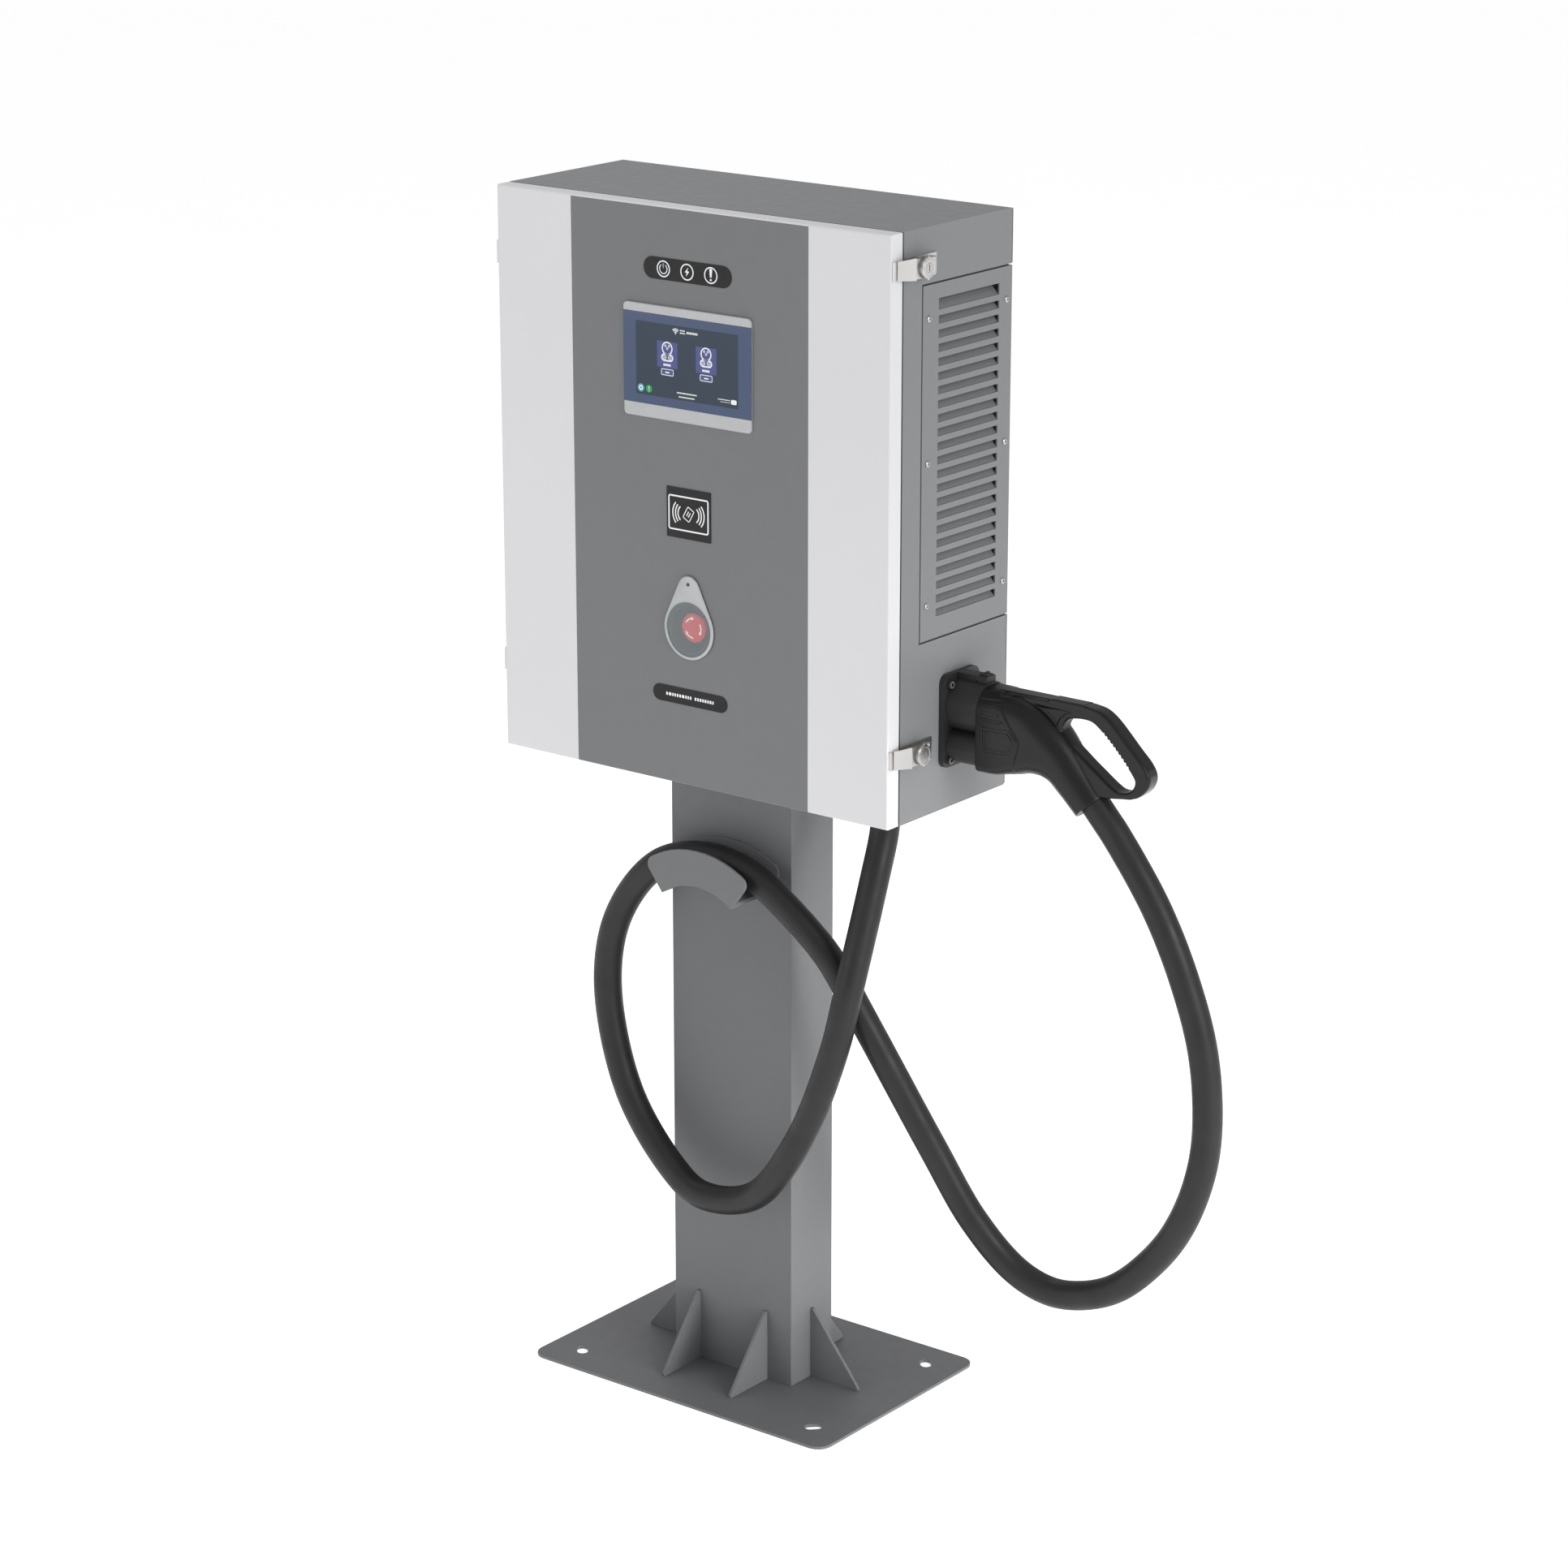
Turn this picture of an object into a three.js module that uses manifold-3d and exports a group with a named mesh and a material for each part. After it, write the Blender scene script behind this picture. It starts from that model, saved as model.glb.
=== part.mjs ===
// Free-standing charging post: a cabinet with a hinged door on a column, with a holstered connector.
// Millimetres. +Z up, +X to the viewer's right of the door, -Y out of the door's front.
// Origin: centre of the base plate's underside.
import * as THREE from 'three';
import { mergeVertices } from 'three/addons/utils/BufferGeometryUtils.js';
import Module from 'manifold-3d';

const wasm = await Module();
wasm.setup();

// ---------------------------------------------------------------- driving dimensions
const PLATE = { width: 500, depth: 350, thick: 4, corner: 20 };
const SLOT = { x: 200, y: 126.3, length: 24, width: 15 };
const COLUMN = { width: 200, depth: 90, wall: 4 };
const FLANGE = { width: 260, depth: 150, thick: 5, corner: 12 };
const GUSSET = { foot: 80, height: 100, thick: 5, frontSpacing: 115 };
const CABINET = { width: 630, bottom: 853, top: 1603, front: -102, back: 126, wall: 2.5 };
const DOOR = { front: -128, back: -105, skin: 4, wall: 2.5, edge: 3 };
const FASCIA = { width: 380, thick: 2, bottom: 853.6, top: 1600.5 };
const VENT = { bottom: 1082.3, top: 1531, front: -61.6, back: 127.5, skin: 2.2, gap: 2.5 };
const LOUVRE = { front: -28.7, back: 100, top: 1490.4, pitch: 17.64, height: 10.2, count: 22 };
const VENT_SCREW = { front: -49.5, back: 115.6, heights: [1489.2, 1308, 1126.7], head: 4, shank: 2 };
const FAN = { y: 33, heights: [1200, 1414], opening: 58, rotor: 54, hub: 19 };
const SADDLE = { centre: 617.6, inner: 95.6, outer: 144.4, halfAngle: 37, tray: 4, sheet: 4, front: -119 };
const HMI = { width: 206, bottom: 1331, top: 1476.5, proud: 3, chin: 17.5, brow: 11, corner: 6 };
const LIGHT = { width: 141, height: 28, z: 1523.5, icon: 10.75, iconPitch: 38 };
const READER = { width: 71.5, bottom: 1180.5, top: 1246, corner: 1, frameWidth: 65.5, frameLow: 10, line: 2 };
const LABEL = { width: 122, height: 22, z: 971.5 };
const STOP = { z: 1062.5, radius: 40, tipZ: 1116, tipRadius: 17, pinZ: 1122, opening: 35.5 };
const BUTTON = { z: STOP.z, radius: 20, face: -121.5, back: -105, stem: 6, travel: 4 };
const LATCH = {
  heights: [1558, 943],
  half: 11.8,
  lip: 3.8,
  face: 328,
  pivotX: 324,
  pivotY: -58,
  lockY: -74.5,
  cap: { back: 330.6, front: 333.6, radius: 13.5 },
};
const HINGE = { heights: [1500, 956], x: -322, y: -104, radius: 5, pin: 3 };
const HOLSTER = { y: 19, face: 322, mouth: 369.6, upperZ: 989, lowerZ: 937 };
const CABLE = { radius: 19, cutZ: 862 };
const CLEARANCE = 0.3;

const HALF_WIDTH = CABINET.width / 2;
const COLUMN_FRONT = -COLUMN.depth / 2;

// ---------------------------------------------------------------- finishes
const finish = (color, roughness, metalness = 0, opacity = 1) =>
  new THREE.MeshStandardMaterial({ color, roughness, metalness, opacity, transparent: opacity < 1 });
const GREY_PAINT = finish(0x7e8082, 0.6);
const LIGHT_GREY_PAINT = finish(0x97989a, 0.6);
const WHITE_PAINT = finish(0xdcdde0, 0.5);
const BLACK_PLASTIC = finish(0x2c2d30, 0.55);
const DARK_STEEL = finish(0x3a3b3d, 0.6, 0.4);
const NICKEL = finish(0xb9babc, 0.3, 0.9);
const RUBBER = finish(0x333437, 0.85);
const GLASS = finish(0x58636f, 0.15, 0, 0.9);
const LENS = finish(0x9aa09c, 0.1, 0, 0.4);
const RED_PLASTIC = finish(0xb3262b, 0.45);
const WHITE_PLASTIC = finish(0xe6e6e6, 0.5);
const ZINC = finish(0xa7a9ab, 0.45, 0.7);

// ---------------------------------------------------------------- outlines, anticlockwise lists of [u, v]
const rectangle = (u0, u1, v0, v1) => [[u0, v0], [u1, v0], [u1, v1], [u0, v1]];

function arc(cu, cv, radius, fromDegrees, toDegrees, steps) {
  return Array.from({ length: steps + 1 }, (_, i) => {
    const angle = THREE.MathUtils.degToRad(fromDegrees + ((toDegrees - fromDegrees) * i) / steps);
    return [cu + radius * Math.cos(angle), cv + radius * Math.sin(angle)];
  });
}

const circle = (cu, cv, radius, sides = 24) => arc(cu, cv, radius, 0, 360 - 360 / sides, sides - 1);

function rounded(u0, u1, v0, v1, radius, steps = 4) {
  return [
    ...arc(u1 - radius, v0 + radius, radius, -90, 0, steps),
    ...arc(u1 - radius, v1 - radius, radius, 0, 90, steps),
    ...arc(u0 + radius, v1 - radius, radius, 90, 180, steps),
    ...arc(u0 + radius, v0 + radius, radius, 180, 270, steps),
  ];
}

const pill = (cu, cv, width, height, steps = 6) =>
  rounded(cu - width / 2, cu + width / 2, cv - height / 2, cv + height / 2, height / 2 - 0.01, steps);

function teardrop(inset) {
  const slope = Math.asin((STOP.radius - STOP.tipRadius) / (STOP.tipZ - STOP.z));
  const lean = THREE.MathUtils.radToDeg(slope);
  return [
    ...arc(0, STOP.z, STOP.radius - inset, 180 - lean, 360 + lean, 30),
    ...arc(0, STOP.tipZ, STOP.tipRadius - inset, lean, 180 - lean, 8),
  ];
}

// ---------------------------------------------------------------- solids
// One closed solid from a three.js geometry: equal corners are merged and empty triangles dropped.
function toSolid(geometry) {
  geometry.deleteAttribute('normal');
  geometry.deleteAttribute('uv');
  const merged = mergeVertices(geometry, 1e-3);
  const index = Array.from(merged.index.array);
  const corners = [];
  for (let i = 0; i < index.length; i += 3) {
    const [a, b, c] = index.slice(i, i + 3);
    if (a !== b && b !== c && c !== a) {
      corners.push(a, b, c);
    }
  }
  const mesh = new wasm.Mesh({
    numProp: 3,
    vertProperties: merged.attributes.position.array,
    triVerts: new Uint32Array(corners),
  });
  return new wasm.Manifold(mesh);
}

const X = new THREE.Vector3(1, 0, 0);
const Y = new THREE.Vector3(0, 1, 0);
const Z = new THREE.Vector3(0, 0, 1);

const shapeOf = (outline) => new THREE.Shape(outline.map(([u, v]) => new THREE.Vector2(u, v)));

// Extrudes a shape. Along x its u and v are y and z; along y they are x and z; along z they are x and y.
function extruded(axis, shape, from, to, bevel = {}) {
  const geometry = new THREE.ExtrudeGeometry(shape, { depth: to - from, bevelEnabled: false, ...bevel });
  const turn = {
    x: new THREE.Matrix4().makeBasis(Y, Z, X),
    y: new THREE.Matrix4().makeBasis(X, Z, Y.clone().negate()),
    z: new THREE.Matrix4(),
  }[axis];
  geometry.translate(0, 0, axis === 'y' ? -to : from);
  geometry.applyMatrix4(turn);
  return toSolid(geometry);
}

const prism = (axis, outline, from, to) => extruded(axis, shapeOf(outline), from, to);

// Closed skin over rings of points with equal counts, given in order along the part.
function skinned(rings) {
  const count = rings[0].length;
  const last = (rings.length - 1) * count;
  const index = [];
  for (let start = 0; start < last; start += count) {
    for (let i = 0; i < count; i++) {
      const next = (i + 1) % count;
      index.push(start + i, start + next, start + count + next);
      index.push(start + i, start + count + next, start + count + i);
    }
  }
  for (let i = 1; i + 1 < count; i++) {
    index.push(0, i + 1, i, last, last + i, last + i + 1);
  }
  const geometry = new THREE.BufferGeometry();
  geometry.setAttribute('position', new THREE.Float32BufferAttribute(rings.flat(2), 3));
  geometry.setIndex(index);
  return toSolid(geometry);
}

// Convex outlines in x and z laid one behind another towards the door's front.
const layered = (layers) =>
  skinned(layers.map(({ at, outline }) => outline.map(([x, z]) => [x, at, z])));

const box = (x0, x1, y0, y1, z0, z1) => prism('z', rectangle(x0, x1, y0, y1), z0, z1);

// Turned form: profile is a list of [position along the axis, radius] in rising order.
function turned(axis, cu, cv, profile, sides = 24) {
  const first = profile[0][0];
  const last = profile[profile.length - 1][0];
  const edge = [[first, 0], ...profile, [last, 0]];
  const geometry = new THREE.LatheGeometry(edge.map(([at, radius]) => new THREE.Vector2(radius, at)), sides);
  if (axis === 'x') {
    geometry.rotateZ(-Math.PI / 2);
    geometry.translate(0, cu, cv);
  } else if (axis === 'y') {
    geometry.translate(cu, 0, cv);
  } else {
    geometry.rotateX(Math.PI / 2);
    geometry.translate(cu, cv, 0);
  }
  return toSolid(geometry);
}

const joined = (first, ...others) => others.reduce((sum, piece) => sum.add(piece), first);

const cut = (first, ...others) => others.reduce((rest, piece) => rest.subtract(piece), first);

// Sweeps an outline along a curve; the outline's u and v follow the curve's own frames.
const swept = (curve, outline, steps) =>
  toSolid(new THREE.ExtrudeGeometry(shapeOf(outline), { steps, extrudePath: curve, bevelEnabled: false }));

const curveThrough = (points) =>
  new THREE.CatmullRomCurve3(points.map(([x, y, z]) => new THREE.Vector3(x, y, z)), false, 'centripetal');

// Points on a smooth curve through [u, v] points, short of its last point.
const smooth = (points, steps, closed) =>
  new THREE.CatmullRomCurve3(points.map(([u, v]) => new THREE.Vector3(u, v, 0)), closed, 'centripetal')
    .getPoints(steps).slice(0, -1).map(({ x, y }) => [x, y]);

const post = new THREE.Group();
post.name = 'ev_charging_post';

function addPart(name, solid, material) {
  const { vertProperties, triVerts, numProp } = solid.getMesh();
  const geometry = new THREE.BufferGeometry();
  const positions = [];
  for (let i = 0; i < vertProperties.length; i += numProp) {
    positions.push(vertProperties[i], vertProperties[i + 1], vertProperties[i + 2]);
  }
  geometry.setAttribute('position', new THREE.Float32BufferAttribute(positions, 3));
  geometry.setIndex(Array.from(triVerts));
  geometry.computeVertexNormals();
  const mesh = new THREE.Mesh(geometry, material);
  mesh.name = name;
  post.add(mesh);
}

// ---------------------------------------------------------------- stand
function basePlate() {
  const plate = prism('z', rounded(-250, 250, -175, 175, PLATE.corner), 0, PLATE.thick);
  const slots = [[1, 1], [1, -1], [-1, 1], [-1, -1]].map(([sx, sy]) =>
    prism('z', pill(0, 0, SLOT.length, SLOT.width), -1, PLATE.thick + 1)
      .rotate([0, 0, sx * sy > 0 ? -45 : 45])
      .translate([sx * SLOT.x, sy * SLOT.y, 0]));
  return cut(plate, ...slots);
}

function column() {
  const { width, depth, wall } = COLUMN;
  const top = CABINET.bottom - FLANGE.thick;
  const tube = box(-width / 2, width / 2, -depth / 2, depth / 2, PLATE.thick, top);
  const flange = prism('z', rounded(-FLANGE.width / 2, FLANGE.width / 2, -FLANGE.depth / 2, FLANGE.depth / 2,
    FLANGE.corner), top, CABINET.bottom);
  const hollow = box(-width / 2 + wall, width / 2 - wall, -depth / 2 + wall, depth / 2 - wall, 0, top);
  const cableWay = prism('z', rounded(-60, 60, -25, 25, 10), top - 1, CABINET.bottom + 1);
  return cut(joined(tube, flange), hollow, cableWay);
}

// Right triangle with a clipped toe; u runs away from the column's face.
function gussetOutline(face) {
  const { foot, height } = GUSSET;
  const floor = PLATE.thick;
  return [
    [face, floor], [face + foot, floor], [face + foot, floor + 4], [face + 4, floor + height],
    [face, floor + height],
  ];
}

function addGussets() {
  const half = GUSSET.thick / 2;
  const x = GUSSET.frontSpacing / 2;
  const rearward = prism('x', gussetOutline(COLUMN.depth / 2), -half, half);
  const rightward = prism('y', gussetOutline(COLUMN.width / 2), -half, half);
  for (const [side, sign] of [['left', -1], ['right', 1]]) {
    addPart(`gusset_front_${side}`, rearward.rotate([0, 0, 180]).translate([sign * x, 0, 0]), GREY_PAINT);
    addPart(`gusset_rear_${side}`, rearward.translate([sign * x, 0, 0]), GREY_PAINT);
    addPart(`gusset_side_${side}`, rightward.rotate([0, 0, sign > 0 ? 0 : 180]), GREY_PAINT);
  }
}

// Ring sector about the saddle's centre with its two outer corners rounded.
function saddleSector(inner, outer, corner) {
  const { centre, halfAngle } = SADDLE;
  const start = 90 - halfAngle;
  const end = 90 + halfAngle;
  const turn = THREE.MathUtils.radToDeg(Math.asin(corner / (outer - corner)));
  return [
    ...arc(0, centre, inner, end, start, 10),
    ...roundedCorner(outer, corner, start + turn, start),
    ...arc(0, centre, outer, start + turn + 2, end - turn - 2, 10),
    ...roundedCorner(outer, corner, end - turn, end),
  ];
}

function roundedCorner(outer, corner, centreAngle, edgeAngle) {
  if (corner < 1) {
    return [];
  }
  const [[cu, cv]] = arc(0, SADDLE.centre, outer - corner, centreAngle, centreAngle, 1);
  const first = edgeAngle < centreAngle;
  const from = first ? edgeAngle - 90 : centreAngle;
  const to = first ? centreAngle : edgeAngle + 90;
  return arc(cu, cv, corner, from, to, 4);
}

function cableSaddle() {
  const { inner, outer, sheet, front, tray } = SADDLE;
  const plate = saddleSector(inner, outer, 12);
  const shelf = saddleSector(inner, inner + tray, 0);
  return joined(
    prism('y', plate, COLUMN_FRONT - sheet, COLUMN_FRONT),
    prism('y', shelf, front, COLUMN_FRONT),
    prism('y', plate, front, front + sheet),
  );
}

// ---------------------------------------------------------------- cabinet
function cabinetShell() {
  const { bottom, top, front, back, wall } = CABINET;
  const flange = 22;
  const inner = HALF_WIDTH - wall;
  const shell = box(-HALF_WIDTH, HALF_WIDTH, front, back, bottom, top);
  const cavity = box(-inner, inner, front + wall, back + 1, bottom + wall, top - wall);
  const halfDoorway = HALF_WIDTH - flange;
  const doorway = box(-halfDoorway, halfDoorway, front - 1, front + 5, bottom + flange, top - flange);
  const ventHole = box(inner - 1, HALF_WIDTH + 1, VENT.front - VENT.gap, back + 1,
    VENT.bottom - VENT.gap, VENT.top + VENT.gap);
  const floorHole = prism('z', circle(GLAND.x, GLAND.y, GLAND.thread + CLEARANCE), bottom - 1, bottom + 5);
  const columnHole = prism('z', rounded(-60, 60, -25, 25, 10), bottom - 1, bottom + 5);
  return cut(shell, cavity, doorway, ventHole, floorHole, columnHole);
}

function rearPanel() {
  const { bottom, top, back } = CABINET;
  const panel = box(-HALF_WIDTH + 1, HALF_WIDTH - 1, back, back + 3.7, bottom + 1, top - 1);
  const corner = box(290.5, HALF_WIDTH, back - 1, back + 5, VENT.bottom - VENT.gap, VENT.top + VENT.gap);
  return cut(panel, corner);
}

function doorGasket() {
  const { bottom, top, front } = CABINET;
  const outline = (inset, corner) =>
    rounded(-HALF_WIDTH + inset, HALF_WIDTH - inset, bottom + inset, top - inset, corner);
  const ring = prism('y', outline(4, 6), DOOR.back + CLEARANCE, front);
  const opening = prism('y', outline(18, 4), front - 5, front + 1);
  return cut(ring, opening);
}

function ventPanel() {
  const outer = HALF_WIDTH;
  const inner = outer - VENT.skin;
  const side = box(inner, outer, VENT.front, VENT.back, VENT.bottom, VENT.top);
  const rearReturn = box(291, outer, VENT.back - VENT.skin, VENT.back, VENT.bottom, VENT.top);
  const tops = Array.from({ length: LOUVRE.count }, (_, i) => LOUVRE.top - i * LOUVRE.pitch);
  const slots = tops.map((top) => [top - LOUVRE.height, top]);
  slots.push([1497.8, 1512]);
  const openings = slots.map(([low, high]) =>
    box(inner - 1, outer + 1, LOUVRE.front, LOUVRE.back, low, high));
  const blades = slots.map(([low]) =>
    prism('y', [[313.6, low - 1.6], [313.6, low - 0.2], [302, low + 11.4], [302, low + 10]],
      LOUVRE.front - 1, LOUVRE.back + 1));
  const panel = joined(cut(joined(side, rearReturn), ...openings), ...blades);
  return cut(panel, ...ventScrewPlaces().map(([y, z]) =>
    prism('x', circle(y, z, VENT_SCREW.shank + CLEARANCE, 10), inner - 2, outer + 2)));
}

const ventScrewPlaces = () =>
  [VENT_SCREW.front, VENT_SCREW.back].flatMap((y) => VENT_SCREW.heights.map((z) => [y, z]));

function ventScrew(y, z) {
  const face = HALF_WIDTH;
  const { head, shank } = VENT_SCREW;
  const screw = turned('x', y, z,
    [[face - 9, shank], [face, shank], [face, head], [face + 1.4, head], [face + 2.2, head - 1]], 12);
  return cut(screw, prism('x', circle(y, z, 1.6, 6), face + 1, face + 3));
}

function fanTray() {
  const face = 272;
  const rim = 312.3;
  const sheet = 2.5;
  const low = VENT.bottom - 12;
  const high = VENT.top + 12;
  const walls = [face, rim, -40, 108, 1092, 1522];
  const pan = box(...walls);
  const hollow = box(face + sheet, rim + 1, -40 + sheet, 108 - sheet, 1092 + sheet, 1522 - sheet);
  const flange = cut(
    box(rim - sheet, rim, -75, 122.8, low, high),
    box(rim - 5, rim + 1, -38, 106, 1094, 1520),
  );
  const openings = FAN.heights.map((z) => prism('x', circle(FAN.y, z, FAN.opening, 32), face - 1, face + 4));
  const spiders = FAN.heights.map((z) => joined(
    box(face, face + sheet, FAN.y - 4, FAN.y + 4, z - 60, z + 60),
    turned('x', FAN.y, z, [[face - 12, FAN.hub], [face + sheet, FAN.hub]], 20),
  ));
  const screwHoles = ventScrewPlaces().map(([y, z]) =>
    prism('x', circle(y, z, VENT_SCREW.shank + CLEARANCE, 10), rim - 4, rim + 1));
  return cut(joined(cut(joined(pan, flange), hollow, ...openings), ...spiders), ...screwHoles);
}

function fanRotor(z) {
  const hub = turned('x', FAN.y, z, [[275.5, FAN.hub], [293, FAN.hub], [296, FAN.hub - 4]], 20);
  const blade = box(-1, 1, -15, 15, FAN.hub - 3, FAN.rotor).rotate([0, 0, 52]).translate([286, 0, 0]);
  const trimmed = blade.intersect(box(276.5, 296, -30, 30, 0, 60));
  const blades = Array.from({ length: 7 }, (_, i) =>
    trimmed.rotate([(360 * i) / 7, 0, 0]).translate([0, FAN.y, z]));
  return joined(hub, ...blades);
}

// ---------------------------------------------------------------- inside the cabinet
function mountingPlate() {
  const sheet = box(-285, 250, 108, 111, 890, 1570);
  const studs = [[-260, 915], [225, 915], [-260, 1545], [225, 1545]].map(([x, z]) =>
    turned('y', x, z, [[110, 7], [CABINET.back, 7]], 12));
  return joined(sheet, ...studs);
}

function powerModule() {
  const body = box(-230, 170, -10, 108, 1130, 1530);
  const fins = Array.from({ length: 12 }, (_, i) => {
    const x = -212 + i * 31;
    return box(x, x + 15, -20, 20, 1150, 1510);
  });
  return cut(body, ...fins);
}

const BREAKER = { x: -180, pivotY: 52, pivotZ: 1000 };

function breaker() {
  const { x, pivotY, pivotZ } = BREAKER;
  const body = box(x - 45, x + 45, 44, 108, pivotZ - 70, pivotZ + 70);
  const nose = box(x - 30, x + 30, 34, 46, pivotZ - 32, pivotZ + 32);
  const well = box(x - 8, x + 8, 20, pivotY + 14, pivotZ - 22, pivotZ + 22);
  const terminals = [-30, 0, 30].flatMap((dx) => [-62, 62].map((dz) =>
    prism('y', circle(x + dx, pivotZ + dz, 5, 10), 40, 56)));
  return cut(joined(body, nose), well, ...terminals);
}

function breakerLever() {
  const { x, pivotY, pivotZ } = BREAKER;
  const hub = turned('x', pivotY, pivotZ, [[x - 7.5, 9], [x + 7.5, 9]], 16);
  const side = [[pivotY, pivotZ - 5], [pivotY, pivotZ + 5], [16, pivotZ + 3.5], [16, pivotZ - 3.5]];
  const arm = prism('x', side, x - 6, x + 6);
  const on = (solid) =>
    solid.translate([0, -pivotY, -pivotZ]).rotate([-20, 0, 0]).translate([0, pivotY, pivotZ]);
  return on(joined(hub, arm));
}

// ---------------------------------------------------------------- door
function doorBlock() {
  const { front, back, edge } = DOOR;
  const { bottom, top } = CABINET;
  const layer = (at, inset) => ({
    at,
    outline: rounded(-HALF_WIDTH + inset, HALF_WIDTH - inset, bottom + inset, top - inset, 1.5, 2),
  });
  return layered([layer(back, 0), layer(front + edge, 0), layer(front + 0.9, 0.9), layer(front, edge)]);
}

const fasciaZone = (y0, y1) => box(-FASCIA.width / 2, FASCIA.width / 2, y0, y1, FASCIA.bottom, FASCIA.top);

// Openings through the fascia and the door skin for the devices mounted in them.
function deviceOpenings() {
  const from = DOOR.front - 5;
  const to = DOOR.back + 5;
  return [
    box(-95, 95, from, to, 1341, 1467),
    box(-58, 58, from, to, LIGHT.z - 9, LIGHT.z + 9),
    box(-29, 29, from, to, 1188, 1239),
    prism('y', circle(0, STOP.z, 33, 32), from, to),
  ];
}

function doorPanel() {
  const { front, back, skin, wall } = DOOR;
  const { bottom, top } = CABINET;
  const half = HALF_WIDTH - wall;
  const cavity = box(-half, half, front + skin, back + 1, bottom + wall, top - wall);
  const pocket = fasciaZone(front - 1, front + FASCIA.thick);
  return cut(doorBlock(), cavity, pocket, ...deviceOpenings());
}

const fascia = () =>
  cut(doorBlock().intersect(fasciaZone(DOOR.front - 1, DOOR.front + FASCIA.thick)), ...deviceOpenings());

function displayBezel() {
  const { width, bottom, top, proud, chin, brow, corner } = HMI;
  const half = width / 2;
  const face = DOOR.front - proud;
  const outline = (inset) =>
    rounded(-half + inset, half - inset, bottom + inset, top - inset, corner - inset);
  const frame = layered([
    { at: DOOR.front, outline: outline(0) },
    { at: face + 0.8, outline: outline(0) },
    { at: face, outline: outline(0.8) },
  ]);
  const body = box(-94, 94, DOOR.front - 1, DOOR.front + 32, 1342, 1466);
  const glassBed = box(-half - 1, half + 1, face - 1, face + 1.2, bottom + chin, top - brow);
  return cut(joined(frame, body), glassBed);
}

function displayGlass() {
  const half = HMI.width / 2;
  const front = DOOR.front - HMI.proud;
  const outline = rectangle(-half, half, HMI.bottom + HMI.chin, HMI.top - HMI.brow);
  return prism('y', outline, front + 0.1, front + 1.2);
}

// Strip with three raised ring pictogram frames.
function lightStrip() {
  const plate = prism('y', pill(0, LIGHT.z, LIGHT.width, LIGHT.height, 8), DOOR.front - 0.7, DOOR.front);
  const body = box(-57, 57, DOOR.front - 0.5, DOOR.front + 16, LIGHT.z - 8, LIGHT.z + 8);
  const rings = [-1, 0, 1].map((i) => {
    const x = i * LIGHT.iconPitch;
    const disc = prism('y', circle(x, LIGHT.z, LIGHT.icon, 28), DOOR.front - 1, DOOR.front - 0.5);
    return cut(disc, prism('y', circle(x, LIGHT.z, LIGHT.icon - 1.5, 28), DOOR.front - 2, DOOR.front - 0.7));
  });
  return joined(plate, body, ...rings);
}

function cardReader() {
  const { width, bottom, top, corner, frameWidth, frameLow, line } = READER;
  const plate = prism('y', rounded(-width / 2, width / 2, bottom, top, corner), DOOR.front - 1, DOOR.front);
  const body = box(-28, 28, DOOR.front - 0.5, DOOR.front + 18, 1189, 1238);
  const outline = (inset) =>
    rounded(inset - frameWidth / 2, frameWidth / 2 - inset, bottom + frameLow + inset,
      top - frameLow - inset, 3 - inset);
  const printedFrame = cut(
    prism('y', outline(0), DOOR.front - 1.2, DOOR.front - 0.8),
    prism('y', outline(line), DOOR.front - 2, DOOR.front),
  );
  return joined(plate, body, printedFrame);
}

const labelStrip = () =>
  prism('y', pill(0, LABEL.z, LABEL.width, LABEL.height, 8), DOOR.front - 0.8, DOOR.front);

function hingeLeaf(z, upper) {
  const { x, y, radius, pin } = HINGE;
  const low = upper ? z + 0.3 : z - 30;
  const high = upper ? z + 30 : z;
  const knuckle = turned('z', x, y, [[low, radius], [high, radius]], 20);
  const leafFrom = upper ? -126 : y - 0.5;
  const leafTo = upper ? y + 0.5 : -78;
  const leaf = box(-318, -HALF_WIDTH, leafFrom, leafTo, low, high);
  const bridge = box(x, -316, upper ? y - 4 : y - 0.5, upper ? y + 0.5 : y + 4, low, high);
  const body = joined(knuckle, leaf, bridge);
  if (upper) {
    const cap = turned('z', x, y, [[low - 1, pin + 0.15], [high - 3, pin + 0.15]], 16);
    return cut(body, cap, box(-316.5, -300, DOOR.back, -90, low - 1, high + 1));
  }
  const spindle = turned('z', x, y, [[low + 1, pin], [z + 24, pin], [z + 25.5, pin - 1]], 16);
  return joined(cut(body, box(-HALF_WIDTH - 3.5, -300, -110, CABINET.front, low - 1, high + 1)), spindle);
}

// ---------------------------------------------------------------- emergency stop
function stopHousing() {
  const face = DOOR.front;
  const flange = prism('y', teardrop(0.6), face - 1, face);
  const cup = turned('y', 0, STOP.z, [[face - 0.5, 32.6], [-92, 32.6]], 32);
  const well = turned('y', 0, STOP.z, [[face - 2, 30], [-95, 30]], 32);
  const bore = turned('y', 0, STOP.z, [[-96, 7], [-90, 7]], 20);
  const pin = turned('y', 0, STOP.pinZ, [[face - 3.8, 2.4], [face - 0.5, 2.4]], 14);
  return joined(cut(joined(flange, cup), well, bore), pin);
}

function stopCover() {
  const back = DOOR.front - 1.4;
  const front = back - 2.2;
  const shell = layered([
    { at: back, outline: teardrop(0) },
    { at: front + 1.2, outline: teardrop(0) },
    { at: front, outline: teardrop(1.2) },
  ]);
  const window = prism('y', circle(0, STOP.z, STOP.opening - 1, 36), front - 1, back + 1);
  const seat = prism('y', circle(0, STOP.z, STOP.opening + 1, 36), back - 1.2, back + 1);
  const pinHole = prism('y', circle(0, STOP.pinZ, 2.7, 14), front - 1, back + 1);
  return cut(shell, window, seat, pinHole);
}

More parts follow.
